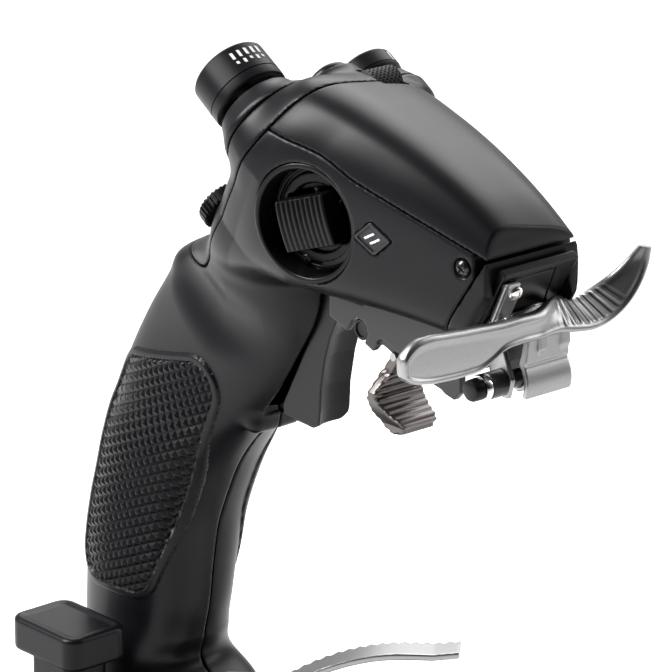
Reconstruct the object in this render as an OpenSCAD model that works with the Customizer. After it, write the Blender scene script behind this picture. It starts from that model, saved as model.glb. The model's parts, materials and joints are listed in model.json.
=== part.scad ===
// Desktop flight joystick: a weighted base with a two-axis gimbal, a right-hand grip with
// moulded pads, and a pitched head with hats, a side switch, triggers and a folding trigger.
// Millimetres. +Z is up, +Y is forward (away from the pilot), +X is starboard.

/* [Base] */
// Side of the square base
base_side = 176; // [172:1:182]
// Corner radius of the base in plan
base_corner = 34; // [30:1:38]
// Height of the base rim
rim_top = 26; // [25:1:28]
// Height of the sloping deck where it meets the turret
deck_top = 40; // [38:1:42]
// Height of the turret around the stick
turret_top = 48; // [47:0.5:49]

/* [Gimbal] */
// Height of the gimbal centre above the desk
gimbal_z = 33; // [32.5:0.5:34]
// Outer radius of the dust dome
dome_r = 30; // [29.5:0.5:30.5]
// Radius of the gimbal pins
pin_r = 2; // [1.8:0.1:2.2]
// Radial clearance of every running pin
run_gap = 0.05; // [0.03:0.01:0.08]

/* [Grip] */
// Height of the grip's lower end
grip_bottom = 74; // [73:0.5:75]
// Height at which the neck enters the head
grip_top = 240; // [238:1:242]
// Wall of the moulded shells
wall = 2.5; // [2:0.1:3]
// Gap at every moulded seam
seam = 0.25; // [0.2:0.05:0.35]

/* [Head] */
// Distance of the head's datum in front of the stick axis
head_y = 85; // [84:0.5:86]
// Height of the head's datum
head_z = 283; // [282:0.5:284]
// Nose-down pitch of the head
head_pitch = 33; // [32:0.5:34]
// Length from the datum to the nose
nose_f = 88.5; // [87:0.5:90]
// Depth of the rear cover behind the datum
rear_f = 11; // [10.5:0.5:12]

/* [Controls] */
// Radius of the right hat cap
right_hat_r = 12; // [11:0.5:12.5]
// Radius of the left hat cap
left_hat_r = 10.5; // [10:0.5:11]
// Radius of the round recess of the side switch
recess_r = 18; // [17.5:0.5:18.5]
// Width of the main trigger
trigger_w = 12; // [11:0.5:13]
// Thickness of the folding trigger's strap
strap_t = 4.5; // [4:0.25:5]

/* [Hidden] */
N = 32;
$fn = 48;
HULL_FN = 32;
EPS = 0.01;

// Head section along its length: [station, half width, top, bottom]
HEAD = [
    [-11, 30.5, 7, -62], [0, 34, 12, -60], [20, 31.5, 19, -46.6], [40, 27.5, 24, -33.6],
    [60, 23, 27, -20.6], [88.5, 17.4, 27.6, -4]
];
HEAD_ROLL = 0.2;
HEAD_LEAN = 0.1;
HEAD_POWER = 3.6;
REAR_TAPER = 0.2;
// Grip section against height: [height, centre, half depth, half width]
GRIP = [
    [74, 0.9, 29.6, 23], [80, -0.5, 29, 23.2], [88, -6.5, 22.5, 21], [98, -7.5, 24.3, 19.2], [110, -6.3, 26, 18.6],
    [123, -4.8, 26.3, 19.5], [139, -1.4, 26.2, 20], [149, 2.1, 26.8, 20], [163, 7.8, 28.6, 20],
    [171, 12, 31, 19], [178, 17, 33.4, 17.5], [191, 25, 35.2, 16.5], [205, 34, 35.5, 16.5],
    [218, 43, 34.5, 18], [226, 47.5, 33, 19.5], [232, 53, 27.5, 21], [240, 63, 21, 22]
];
GRIP_POWER = 2.25;

function col(table, i, key) = lookup(key, [for (r = table) [r[0], r[i]]]);
function spow(v, p) = sign(v) * pow(abs(v), p);

// One point of the head's section at station f, angle a, moved inward by t
function head_point(f, a, t, s) =
    let (
        zt = col(HEAD, 2, f) - t,
        zb = col(HEAD, 3, f) + t,
        v = spow(sin(a), 2 / HEAD_POWER),
        level = (zt + zb) / 2 + s * v * (zt - zb) / 2,
        taper = REAR_TAPER * min(1, max(0, (-14 - level) / 28)) * min(1, max(0, (28 - f) / 23)),
        w = (col(HEAD, 1, f) - t) * s * (1 - taper),
        x = w * spow(cos(a), 2 / HEAD_POWER),
        z = level + max(v, 0) * HEAD_ROLL * x
    )
    [x * (1 - HEAD_LEAN * v), f, z];

// End rounding of the head: a station is drawn in by this factor near each end
function end_scale(f, f0, f1, r, depth) =
    let (e = min(f - f0, f1 - f))
    e >= r ? 1 : 1 - depth * (1 - sqrt(1 - pow(1 - e / r, 2)));

function head_rings(t) =
    let (f0 = -rear_f + t, f1 = nose_f - t)
    [
        for (f = concat([f0, f0 + 0.7, f0 + 2.2, f0 + 4.5, f0 + 8], [for (k = [1 : 7]) f0 + 8 + k * (f1 - f0 - 11) / 7],
            [f1 - 1.2, f1 - 0.4, f1]))
        let (s = f < 30 ? end_scale(f, f0, 200, 8, 0.16) : end_scale(f, -200, f1, 3, 0.1))
        [for (i = [0 : N - 1]) head_point(f, -(i + 0.5) * 360 / N, t, s)]
    ];

function grip_point(z, a, t) =
    let (p = 2 / GRIP_POWER)
    [
        (col(GRIP, 3, z) - t) * spow(cos(a), p),
        col(GRIP, 1, z) + (col(GRIP, 2, z) - t) * spow(sin(a), p),
        z
    ];

function grip_rings(t, z0, z1) =
    let (zs = concat([z0], [for (r = GRIP) if (r[0] > z0 + 1 && r[0] < z1 - 1) r[0]], [z1]))
    [for (z = zs) [for (i = [0 : N - 1]) grip_point(z, (i + 0.5) * 360 / N, t)]];

// A closed solid through a list of rings with the same number of points
module loft(rings) {
    n = len(rings[0]);
    m = len(rings);
    polyhedron(
        points = [for (r = rings) for (p = r) p],
        faces = concat(
            [for (i = [1 : n - 2]) [0, i, i + 1]],
            [for (j = [0 : m - 2]) for (i = [0 : n - 1]) let (k = (i + 1) % n) [j * n + i, (j + 1) * n + i, (j + 1) * n + k]],
            [for (j = [0 : m - 2]) for (i = [0 : n - 1]) let (k = (i + 1) % n) [j * n + i, (j + 1) * n + k, j * n + k]],
            [for (i = [1 : n - 2]) [(m - 1) * n, (m - 1) * n + i + 1, (m - 1) * n + i]]
        )
    );
}

// Holds a blended moulding as one faceted skin
module moulding() {
    resize([0, 0, 0]) children();
}

// Places children given in the head's own axes: x, forward f, up w
module in_head() {
    translate([0, head_y, head_z]) rotate([-head_pitch, 0, 0]) children();
}

module xcyl(r, x0, x1) {
    translate([x0, 0, 0]) rotate([0, 90, 0]) cylinder(r = r, h = x1 - x0);
}

module ycyl(r, y0, y1) {
    translate([0, y0, 0]) rotate([-90, 0, 0]) cylinder(r = r, h = y1 - y0);
}

module block(lo, hi) {
    translate(lo) cube(hi - lo);
}

module round_rect(w, d, r) {
    square([w - 2 * r, d], center = true);
    square([w, d - 2 * r], center = true);
    for (sx = [-1, 1], sy = [-1, 1]) translate([sx * (w / 2 - r), sy * (d / 2 - r)]) circle(r = r);
}

module slab(w, d, r, z0, z1) {
    translate([0, 0, z0]) linear_extrude(z1 - z0) round_rect(w, d, r);
}

module ring(r0, r1, z0, z1) {
    translate([0, 0, z0]) difference() {
        cylinder(r = r1, h = z1 - z0);
        translate([0, 0, -1]) cylinder(r = r0, h = z1 - z0 + 2);
    }
}

// ---------------------------------------------------------------- solids of the mouldings

module head_outer() {
    in_head() loft(head_rings(0));
}

// Front face of the nose, set back below its brow
FACE_F = 84.5;
BROW_W = 24;
BROW_ROLL = 11.3;
module head_inner() {
    in_head() intersection() {
        loft(head_rings(wall));
        block([-60, -60, -130], [60, FACE_F - wall, 60]);
    }
}

module below_brow() {
    in_head() translate([0, FACE_F, BROW_W]) rotate([0, -BROW_ROLL, 0]) block([-60, 0, -80], [60, 20, 0]);
}

module grip_outer() {
    loft(grip_rings(0, grip_bottom, grip_top));
}

module grip_inner(top = grip_top) {
    loft(grip_rings(wall, grip_bottom + wall + 0.5, top));
}

// Recess of the main trigger in the neck and under the head
SLOT_W = trigger_w + 3;
module trigger_slot() {
    block([-SLOT_W / 2, 51, 181], [SLOT_W / 2, 103, 240]);
}

// Clear way for the carriage and the front finger paddle under the head
module carriage_slot() {
    block([-15.5, 106, 226], [15.5, 146, 242]);
}

// Side of the head forward of the rear seam, drawn in the head's axes
SWITCH_F = 26;
SWITCH_W = -13.6;
SEAM_TILT = 4.6;
module rear_half_space() {
    in_head() rotate([SEAM_TILT, 0, 0]) block([-60, -60, -130], [60, 0, 60]);
}

module side_profile(grow) {
    polygon([[-40, -100], [120, -100], [120, 34 + grow], [82, 23 + grow], [11, 4 + grow], [0, -0.5 + grow], [-40, -2 + grow]]);
    translate([SWITCH_F, SWITCH_W]) circle(r = 21.6 + grow, $fn = HULL_FN * 2);
}

module side_band(grow) {
    in_head() rotate([90, 0, 90]) translate([0, 0, -60]) linear_extrude(120) side_profile(grow);
}

module head_shell() {
    difference() {
        head_outer();
        head_inner();
        grip_inner(grip_top + 6);
        below_brow();
        trigger_slot();
        carriage_slot();
    }
}

SWITCH_X = 29.3;
SWITCH_ROLL = 49;
SWITCH_YAW = 12;
SWITCH_TILT = 7;
// Axes of the side switch: x along the switch's own normal, out of the right side
module in_switch() {
    in_head() translate([SWITCH_X, SWITCH_F, SWITCH_W]) rotate([0, -SWITCH_TILT, SWITCH_YAW]) rotate([SWITCH_ROLL, 0, 0]) children();
}

// ---------------------------------------------------------------- base

module base_bottom() {
    color("#1c1c1e") difference() {
        slab(base_side, base_side, base_corner, 3, 13);
        slab(base_side - 6, base_side - 6, base_corner - 3, 6, 14);
        block([-6.2, base_side / 2 - 4, 6], [6.2, base_side / 2 + 1, 14]);
        for (sx = [-1, 1], sy = [-1, 1]) translate([sx * 58, sy * 58, 2]) cylinder(r = 1.8, h = 6);
    }
}

module base_top() {
    inner_deck = 118;
    color("#1a1a1c") difference() {
        union() {
            slab(base_side, base_side, base_corner, 13.2, rim_top);
            hull() {
                slab(base_side, base_side, base_corner, rim_top - 1, rim_top, $fn = HULL_FN);
                slab(inner_deck, inner_deck, 30, deck_top - 1, deck_top, $fn = HULL_FN);
            }
            cylinder(r = 44, h = turret_top);
        }
        slab(base_side - 6, base_side - 6, base_corner - 3, -1, rim_top - 3);
        hull() {
            slab(base_side - 8, base_side - 8, base_corner - 4, rim_top - 4, rim_top - 3, $fn = HULL_FN);
            slab(inner_deck - 4, inner_deck - 4, 28, deck_top - 4, deck_top - 3, $fn = HULL_FN);
        }
        translate([0, 0, -1]) cylinder(r = 41, h = turret_top - 2);
        translate([0, 0, gimbal_z]) sphere(r = dome_r + 0.6);
        block([-6.2, base_side / 2 - 4, 0], [6.2, base_side / 2 + 1, 18.5]);
        translate([0, 0, -1]) cylinder(r = 40, h = 10);
    }
}

module base_feet() {
    color("#111111") {
        for (sx = [-1, 1], sy = [-1, 1]) translate([sx * 70, sy * 70, 0]) cylinder(r = 9, h = 3);
        cylinder(r = 16, h = 3);
    }
}

module base_screws() {
    color("#8c8c90") for (sx = [-1, 1], sy = [-1, 1])
        translate([sx * 58, sy * 58, 0.8]) {
            cylinder(r = 3.4, h = 2.2);
            cylinder(r = 1.7, h = 9);
        }
}

module base_weight() {
    color("#55565a") for (s = [-1, 1]) translate([s * 62, 0, 6]) linear_extrude(9) round_rect(26, 90, 5);
}

POST_Y0 = 21.2;
POST_Y1 = 25.6;
module gimbal_frame() {
    color("#3b3c40") difference() {
        union() {
            translate([0, 0, 6]) cylinder(r = 34, h = 3);
            for (s = [-1, 1]) block([-5.5, s > 0 ? POST_Y0 : -POST_Y1, 8.9], [5.5, s > 0 ? POST_Y1 : -POST_Y0, gimbal_z + 6]);
        }
        translate([0, 0, gimbal_z]) ycyl(pin_r + run_gap, -30, 30);
    }
}

module base_board() {
    color("#1d5b3a") block([-32, 42, 7.5], [32, 78, 9.1]);
    color("#3b3c40") for (x = [-28, 28], y = [46, 74]) translate([x, y, 6]) cylinder(r = 2.4, h = 1.5);
}

// Receptacle for the data lead in the rear wall of the base
module data_socket() {
    color("#9a9a9e") difference() {
        block([-6, base_side / 2 - 15, 9.1], [6, base_side / 2 - 0.4, 20.4 - 2.1]);
        block([-4.2, base_side / 2 - 12, 10.1], [4.2, base_side / 2 + 1, 17.2]);
    }
}

SPRING_TOP = 21;
module centring_spring() {
    color("#a7a8ac") ring(6.2, 8.4, 9, SPRING_TOP);
}

module gimbal_ring() {
    color("#6d6e73") translate([0, 0, gimbal_z]) difference() {
        ring(15.5, 20.5, -4, 4);
        xcyl(pin_r + run_gap, -25, 25);
        ycyl(pin_r, -25, 25);
    }
}

module roll_pins() {
    color("#b9babf") translate([0, 0, gimbal_z]) for (s = [0, 180]) rotate([0, 0, s]) ycyl(pin_r, 16, POST_Y1 - 0.2);
}

// ---------------------------------------------------------------- stick core

module gimbal_block() {
    color("#4a4b50") translate([0, 0, gimbal_z]) difference() {
        union() {
            block([-9.5, -9.5, -6], [9.5, 9.5, 6]);
            translate([0, 0, 5.9]) cylinder(r = 7, h = 3.1);
            translate([0, 0, SPRING_TOP - gimbal_z]) cylinder(r = 8, h = 6.1);
        }
        xcyl(pin_r, -12, 12);
    }
}

module pitch_pin() {
    color("#b9babf") translate([0, 0, gimbal_z]) xcyl(pin_r, -20, 20);
}

module stick_shaft() {
    color("#2c2d30") ring(5, 8, gimbal_z + 9, 96);
}

module dust_dome() {
    color("#151517") translate([0, 0, gimbal_z]) difference() {
        sphere(r = dome_r);
        sphere(r = dome_r - 2.2);
        block([-40, -40, -40], [40, 40, 4.2]);
        cylinder(r = 8, h = 50);
    }
}

module collar_nut() {
    color("#161618") {
        ring(8, 17, 64.5, grip_bottom);
        for (i = [0 : 11]) rotate([0, 0, i * 30]) translate([17, 0, 65]) cylinder(r = 1.4, h = 8);
    }
}

// ---------------------------------------------------------------- grip

module grip_half(side) {
    moulding() intersection() {
        difference() {
            grip_outer();
            grip_inner(grip_top + 1);
            in_head() loft(head_rings(-seam));
            trigger_slot();
            translate([0, 0, 60]) cylinder(r = 8.2, h = 40);
        }
        block([side > 0 ? seam / 2 : -60, -60, 60], [side > 0 ? 60 : -seam / 2, 120, 260]);
    }
}

module grip_shell_right() {
    color("#1b1b1d") grip_half(1);
}

module grip_shell_left() {
    color("#1b1b1d") grip_half(-1);
}

// Outline of the moulded pad in side view, as [forward, height]
module pad_outline() {
    hull() {
        for (p = [[-13, 121, 11], [3, 121.5, 11], [32.5, 187.5, 11], [2.5, 181, 11]]) translate([p[0], p[1]]) circle(r = p[2]);
    }
}

module grip_pad(side) {
    moulding() intersection() {
        difference() {
            loft(grip_rings(-1.1, grip_bottom + 2, grip_top - 4));
            loft(grip_rings(-0.05, grip_bottom + 1, grip_top - 3));
        }
        rotate([90, 0, 90]) translate([0, 0, side > 0 ? 6 : -40]) linear_extrude(34) pad_outline();
    }
}

module grip_pad_right() {
    color("#202022") grip_pad(1);
}

module grip_pad_left() {
    color("#202022") grip_pad(-1);
}

// ---------------------------------------------------------------- head mouldings

// Opening of the scroll wheel, and the two lugs inside the rear cover that hold its axle
module wheel_slot() {
    block([WHEEL_X - 6, WHEEL_F - 5.5, -2], [WHEEL_X + 6, WHEEL_F + 5.5, 30]);
}

module wheel_lug(side) {
    translate([WHEEL_X + side * 6.8, 0, 0]) difference() {
        block([-0.75, -8.8, 1.6], [0.75, 0, 14]);
        translate([0, WHEEL_F, WHEEL_W]) xcyl(1, -2, 2);
    }
}

module rear_cover() {
    color("#1c1c1e") moulding() difference() {
        intersection() {
            union() {
                head_shell();
                intersection() {
                    head_outer();
                    in_head() for (s = [-1, 1]) wheel_lug(s);
                }
            }
            rear_half_space();
        }
        in_head() {
            translate([RIGHT_HAT[0], 0, RIGHT_HAT[1]]) ycyl(HAT_HOLE_R, -40, 10);
            translate([LEFT_HAT[0], 0, LEFT_HAT[1]]) ycyl(HAT_HOLE_R, -40, 10);
            translate([BUTTON[0], 0, BUTTON[1]]) ycyl(BUTTON_R + 0.35, -40, 10);
            translate([DIAL[0], 0, DIAL[1]]) ycyl(DIAL_R - 1.5, -40, 10);
            wheel_slot();
            translate([WHEEL_X, WHEEL_F, WHEEL_W]) xcyl(1.06, -7.5, 7.5);
        }
    }
}

module head_top_shell() {
    color("#1e1e20") moulding() difference() {
        head_shell();
        side_band(seam / 2);
        in_head() rotate([SEAM_TILT, 0, 0]) block([-60, -60, -130], [60, seam, 60]);
        nose_window();
        in_head() wheel_slot();
    }
}

module side_panel(side) {
    moulding() difference() {
        intersection() {
            head_shell();
            side_band(-seam / 2);
            block([side > 0 ? seam / 2 : -60, -60, 150], [side > 0 ? 60 : -seam / 2, 260, 350]);
        }
        in_head() rotate([SEAM_TILT, 0, 0]) block([-60, -60, -130], [60, seam, 60]);
        nose_window();
        if (side > 0) in_switch() xcyl(recess_r, -20, 20);
        in_head_screw(side) {
            xcyl(2.4, -0.5, 6);
            xcyl(1.3, -4, 0);
        }
    }
}

module side_panel_right() {
    color("#1c1c1e") side_panel(1);
}

module side_panel_left() {
    color("#1c1c1e") side_panel(-1);
}

NOSE_LO = -3.5;
NOSE_HI = 21;
NOSE_X = 14.5;
module nose_window() {
    in_head() block([-NOSE_X, FACE_F - 8, NOSE_LO], [NOSE_X, FACE_F + 10, NOSE_HI]);
}

module nose_plate() {
    color("#151517") in_head() difference() {
        block([-NOSE_X + seam, FACE_F - 3.2, NOSE_LO + seam], [NOSE_X - seam, FACE_F - 0.2, NOSE_HI - seam]);
        for (p = BRACKET_SCREWS) translate([p[0], 0, p[1]]) ycyl(1.25, FACE_F - 6, FACE_F + 4);
    }
}

module badge_plate() {
    color("#37373a") in_head() translate([28.3, 47, 0.5]) rotate([0, -8, 14]) block([-0.6, -3.6, -4], [1.1, 3.6, 4]);
}

// ---------------------------------------------------------------- side switch

SWITCH_DEPTH = 8;
module switch_bezel() {
    color("#0f0f10") in_switch() difference() {
        xcyl(recess_r - 0.2, -SWITCH_DEPTH - 3, -0.4);
        xcyl(recess_r - 1.8, -SWITCH_DEPTH, 2);
        block([-14, -9.5, -8.5], [0, 9.5, 8.5]);
        translate([SWITCH_PIVOT_X, 0, -12]) cylinder(r = 1, h = 24);
        for (p = SWITCH_SCREWS) translate([0, p[0], p[1]]) xcyl(0.98, -12, 0);
    }
}

SWITCH_SCREWS = [[9.2, 10], [-8.1, -11.3]];
module switch_screws() {
    color("#46474b") in_switch() for (p = SWITCH_SCREWS) translate([0, p[0], p[1]]) {
        xcyl(1.9, -SWITCH_DEPTH, -SWITCH_DEPTH + 2);
        xcyl(0.98, -SWITCH_DEPTH - 3, -SWITCH_DEPTH + 0.1);
    }
}

SWITCH_PIVOT_X = -9.5;
module side_rocker() {
    ribs = 10;
    half_w = 8.2;
    low = -4.4;
    high = 2.2;
    lean = atan((high - low) / (2 * half_w));
    pitch = norm([high - low, 2 * half_w]) / ribs;
    color("#1f1f21") in_switch() difference() {
        union() {
            translate([0, 0, -7.6]) linear_extrude(15.2) polygon([[-7, -half_w], [high, -half_w], [low, half_w], [-7, half_w]]);
            translate([SWITCH_PIVOT_X, 0, -7]) cylinder(r = 3.4, h = 14);
            block([SWITCH_PIVOT_X, -2.5, -7], [-6.5, 2.5, 7]);
        }
        translate([high, -half_w, 0]) rotate([0, 0, lean])
            for (i = [1 : ribs - 1]) block([-0.7, i * pitch - 0.35, -8], [2, i * pitch + 0.35, 8]);
        translate([SWITCH_PIVOT_X, 0, -9]) cylinder(r = 1 + run_gap, h = 18);
    }
}

module rocker_pin() {
    color("#b0b1b5") in_switch() translate([SWITCH_PIVOT_X, 0, -12]) cylinder(r = 1, h = 24);
}

// ---------------------------------------------------------------- hats, button, wheels on the rear face

RIGHT_HAT = [17.5, -12];
LEFT_HAT = [-28, -14.5];
HAT_HOLE_R = 5;
BUTTON = [-3.6, -3.5];
BUTTON_R = 7.5;
DIAL = [15.3, -50.3];
DIAL_R = 8;
WHEEL_X = -11.5;
REAR_FACE = -rear_f;
BALL_R = 3;

// A hat's turret: a flared round collar standing on the rear cover
module hat_collar(at, r, h, flare) {
    translate([at[0], REAR_FACE, at[1]]) rotate([90, 0, 0]) rotate_extrude() {
        polygon([[HAT_HOLE_R + 0.6, 0], [r + flare, 0], [r + flare, h * 0.35], [r + 0.4, h * 0.82], [r + 0.4, h], [HAT_HOLE_R + 0.6, h]]);
    }
}

module hat_cap(at, r, h0, h1) {
    translate([at[0], REAR_FACE, at[1]]) rotate([90, 0, 0]) difference() {
        rotate_extrude() {
            polygon([
                [0, h0 - 1.5], [HAT_HOLE_R - 1.2, h0 - 1.5], [HAT_HOLE_R - 1.2, h0 + 0.4], [r - 0.6, h0 + 0.4],
                [r, h0 + (h1 - h0) * 0.5], [r, h1 - 1.2], [r - 1.2, h1], [r - 3.4, h1], [r - 4.2, h1 - 0.9], [0, h1 - 0.9]
            ]);
        }
        translate([0, 0, h0 - 1.5]) sphere(r = BALL_R + run_gap);
    }
}

module hat_ball(at, h) {
    translate([at[0], REAR_FACE, at[1]]) rotate([90, 0, 0]) translate([0, 0, h]) sphere(r = BALL_R);
}

module hat_post(at, h) {
    translate([at[0], REAR_FACE, at[1]]) rotate([90, 0, 0]) difference() {
        translate([0, 0, -6]) cylinder(r = 2, h = 6 + h);
        translate([0, 0, h]) sphere(r = BALL_R + run_gap);
    }
}

RIGHT_H = [13.5, 22.4];
LEFT_H = [6.5, 12.5];

module hat_right_collar() {
    color("#1b1b1d") in_head() hat_collar(RIGHT_HAT, right_hat_r, 11.6, 2.8);
}

module hat_left_collar() {
    color("#1b1b1d") in_head() hat_collar(LEFT_HAT, left_hat_r - 1, 4.8, 1.6);
}

module hat_right_cap() {
    color("#202022") in_head() hat_cap(RIGHT_HAT, right_hat_r, RIGHT_H[0], RIGHT_H[1]);
}

module hat_left_cap() {
    color("#202022") in_head() hat_cap(LEFT_HAT, left_hat_r, LEFT_H[0], LEFT_H[1]);
}

module hat_right_ball() {
    color("#9c9da1") in_head() hat_ball(RIGHT_HAT, RIGHT_H[0] - 1.5);
}

module hat_left_ball() {
    color("#9c9da1") in_head() hat_ball(LEFT_HAT, LEFT_H[0] - 1.5);
}

module hat_posts() {
    color("#77787c") in_head() {
        hat_post(RIGHT_HAT, RIGHT_H[0] - 1.5);
        hat_post(LEFT_HAT, LEFT_H[0] - 1.5);
    }
}

module thumb_button() {
    color("#161618") in_head() translate([BUTTON[0], REAR_FACE, BUTTON[1]]) rotate([90, 0, 0]) {
        translate([0, 0, -5]) cylinder(r = 2, h = 5);
        translate([0, 0, -0.5]) cylinder(r = BUTTON_R, h = 4);
        translate([0, 0, 3.4]) intersection() {
            translate([0, 0, -9.5]) sphere(r = 12);
            cylinder(r = BUTTON_R, h = 5);
        }
    }
}

WHEEL_R = 5;
WHEEL_F = -2.8;
WHEEL_W = 4.3;
WHEEL_HALF = 5.5;
module scroll_wheel() {
    color("#232325") in_head() translate([WHEEL_X, WHEEL_F, WHEEL_W]) difference() {
        xcyl(WHEEL_R, -WHEEL_HALF, WHEEL_HALF);
        xcyl(1 + run_gap, -8, 8);
        for (i = [0 : 17]) rotate([i * 20, 0, 0]) translate([-6, -0.35, WHEEL_R - 0.5]) cube([12, 0.7, 2]);
    }
}

module wheel_axle() {
    color("#b0b1b5") in_head() translate([WHEEL_X, WHEEL_F, WHEEL_W]) xcyl(1, -7.4, 7.4);
}

module thumb_dial() {
    color("#1d1d1f") in_head() translate([DIAL[0], REAR_FACE, DIAL[1]]) rotate([90, 0, 0]) difference() {
        union() {
            translate([0, 0, 0.8]) cylinder(r = DIAL_R, h = 5.4);
            translate([0, 0, -6]) cylinder(r = 3.4, h = 7);
        }
        for (i = [0 : 29]) rotate([0, 0, i * 12]) translate([DIAL_R - 0.5, -0.35, 0]) cube([2, 0.7, 8]);
    }
}

// ---------------------------------------------------------------- triggers under the head

TRIG_Y = 96;
TRIG_Z = 243;
module trigger_frame() {
    color("#3b3c40") difference() {
        union() {
            for (s = [-1, 1]) block([s > 0 ? 7.6 : -9.6, TRIG_Y - 9, TRIG_Z - 5.5], [s > 0 ? 9.6 : -7.6, TRIG_Y + 16, TRIG_Z + 6]);
            block([-7.7, TRIG_Y + 12, TRIG_Z - 5.5], [7.7, TRIG_Y + 16, TRIG_Z + 6]);
        }
        translate([0, TRIG_Y, TRIG_Z]) xcyl(1.5, -12, 12);
    }
}

module trigger_pin() {
    color("#b0b1b5") translate([0, TRIG_Y, TRIG_Z]) xcyl(1.5, -9.5, 9.5);
}

// Side outline of the main trigger, as [forward, height]
module trigger_outline() {
    polygon([
        [92, 246], [89.5, 238], [80, 226], [75, 214], [68, 200], [61.5, 187.5], [62.5, 184], [77.5, 184], [79, 186],
        [80, 198], [83, 212], [88.5, 224], [97, 232], [100, 238], [99, 246]
    ]);
}

module main_trigger() {
    color("#1d1d1f") difference() {
        union() {
            translate([-trigger_w / 2, 0, 0]) rotate([90, 0, 90]) linear_extrude(trigger_w) trigger_outline();
            translate([0, TRIG_Y, TRIG_Z]) xcyl(5, -trigger_w / 2, trigger_w / 2);
        }
        translate([0, TRIG_Y, TRIG_Z]) xcyl(1.5 + run_gap, -12, 12);
    }
}

// Carriage: a U-shaped hanger below the head that carries the front paddle
CAR_X = 15;
module carriage_outline() {
    polygon([
        [94, 231.5], [94, 225], [104, 222.3], [116, 221], [124, 215.5], [147, 212.5], [150, 216], [150, 231.5],
        [144, 231.5], [144, 239], [108, 239], [108, 231.5]
    ]);
}

module carriage_cheeks() {
    color("#3a3b3f") difference() {
        for (s = [-1, 1]) translate([s > 0 ? CAR_X - 2.4 : -CAR_X, 0, 0]) rotate([90, 0, 90]) linear_extrude(2.4) carriage_outline();
        translate([0, 107, 224.2]) xcyl(2, -20, 20);
        translate([0, PADDLE_Y, PADDLE_Z]) xcyl(1.25, -20, 20);
    }
}

module carriage_bridge() {
    color("#2d2e31") difference() {
        block([-CAR_X + 2.4, 122, 221.5], [CAR_X - 2.4, 150, 231.5]);
        translate([0, PADDLE_Y, PADDLE_Z]) xcyl(5.2, -20, 20);
    }
}

module carriage_pin() {
    color("#8d8e92") translate([0, 107, 224.2]) xcyl(2, -15.6, 15.6);
}

PADDLE_Y = 121;
PADDLE_Z = 219.5;
module paddle_outline() {
    polygon([
        [118, 219], [113, 214], [108.5, 208], [104, 204], [101.5, 199], [103, 193], [108, 189.5], [113, 190], [118.5, 194.5],
        [121.5, 201], [121, 207], [121.5, 213], [124, 218]
    ]);
}

module front_paddle() {
    color("#6f6f72") difference() {
        union() {
            translate([-7, 0, 0]) rotate([90, 0, 90]) linear_extrude(14) paddle_outline();
            translate([0, PADDLE_Y, PADDLE_Z]) xcyl(3.6, -12.2, 12.2);
        }
        translate([0, PADDLE_Y, PADDLE_Z]) xcyl(1.25 + run_gap, -20, 20);
    }
}

module paddle_pin() {
    color("#b0b1b5") translate([0, PADDLE_Y, PADDLE_Z]) xcyl(1.25, -CAR_X, CAR_X);
}

// ---------------------------------------------------------------- folding trigger

FOLD_Y = 160;
FOLD_Z = 220.7;
BRACKET_SCREWS = [[7.6, 1.8], [8.8, 14.8]];
LEAF_T = 1.6;
LEAF_GAP = 0.05;
module hinge_bracket() {
    color("#b9b9bd") difference() {
        union() {
            in_head() translate([0, FACE_F + LEAF_GAP, 0]) {
                block([4.6, 0, -3], [12.6, LEAF_T, 18.4]);
                block([-12, 0, -3], [12.6, LEAF_T, 3.4]);
            }
            for (x = [-12, 6.9]) translate([x, 0, 0]) rotate([90, 0, 90]) linear_extrude(1.8)
                polygon([[153.2, 238.5], [152, 231], [155, 222], [157.5, 216.2], [162.5, 216.2], [164, 222], [160, 231], [159.4, 238.5]]);
        }
        translate([0, FOLD_Y, FOLD_Z]) xcyl(2.6, -20, 20);
        in_head() block([-20, FACE_F - 20, -60], [20, FACE_F + LEAF_GAP, 40]);
        in_head() for (p = BRACKET_SCREWS) translate([p[0], 0, p[1]]) {
            ycyl(1.25, FACE_F - 6, FACE_F + 4);
            ycyl(2.35, FACE_F + LEAF_GAP + LEAF_T, FACE_F + 9);
        }
    }
}

module bracket_screws() {
    color("#c8c8cc") in_head() for (p = BRACKET_SCREWS) translate([p[0], FACE_F + LEAF_T + LEAF_GAP, p[1]]) {
        ycyl(1.25, -4.6, 0.1);
        ycyl(2.2, 0, 1.8);
    }
}

module fold_pin() {
    color("#18181a") translate([0, FOLD_Y, FOLD_Z]) {
        xcyl(2.6, -13, 21);
        xcyl(3.4, 8.9, 15);
        xcyl(3.2, 16.2, 21);
    }
}

// Strap of the folding trigger: a flat bar whose left part twists into an upturned scoop.
// Each row: [x, forward of the pin, height of the lower edge, width of the band, tilt of the band]
STRAP = [
    [53.6, 7.5, 234.3, 4.6, 0], [51.4, 7.5, 232.2, 9.6, 0], [48.5, 7.5, 231, 12.6, 0], [44, 7.5, 230, 14.2, 0],
    [37, 7.5, 229.4, 14.3, 0], [30, 7.5, 229.2, 13.9, 0], [24, 7.5, 229.4, 13.3, 0], [20, 7.5, 231.2, 11.2, 0],
    [16, 7.5, 233.6, 8.7, 0], [9, 7.5, 234.1, 8.2, 0], [2, 7.5, 233.9, 8.4, 3], [-5, 8, 234, 10, 22],
    [-11, 9, 233.6, 12, 44], [-18, 9.7, 233.2, 13, 60]
];
// Upturned end, an arc of this radius about a centre above the strap
CURL_R = 22.2;
CURL_END = 84;
CURL = [for (a = [14 : 14 : CURL_END]) [
    -18 - CURL_R * sin(a), 9.7, 233.2 + CURL_R * (1 - cos(a)), 13 - 6.5 * pow(a / CURL_END, 2), 60, a
]];

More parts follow.
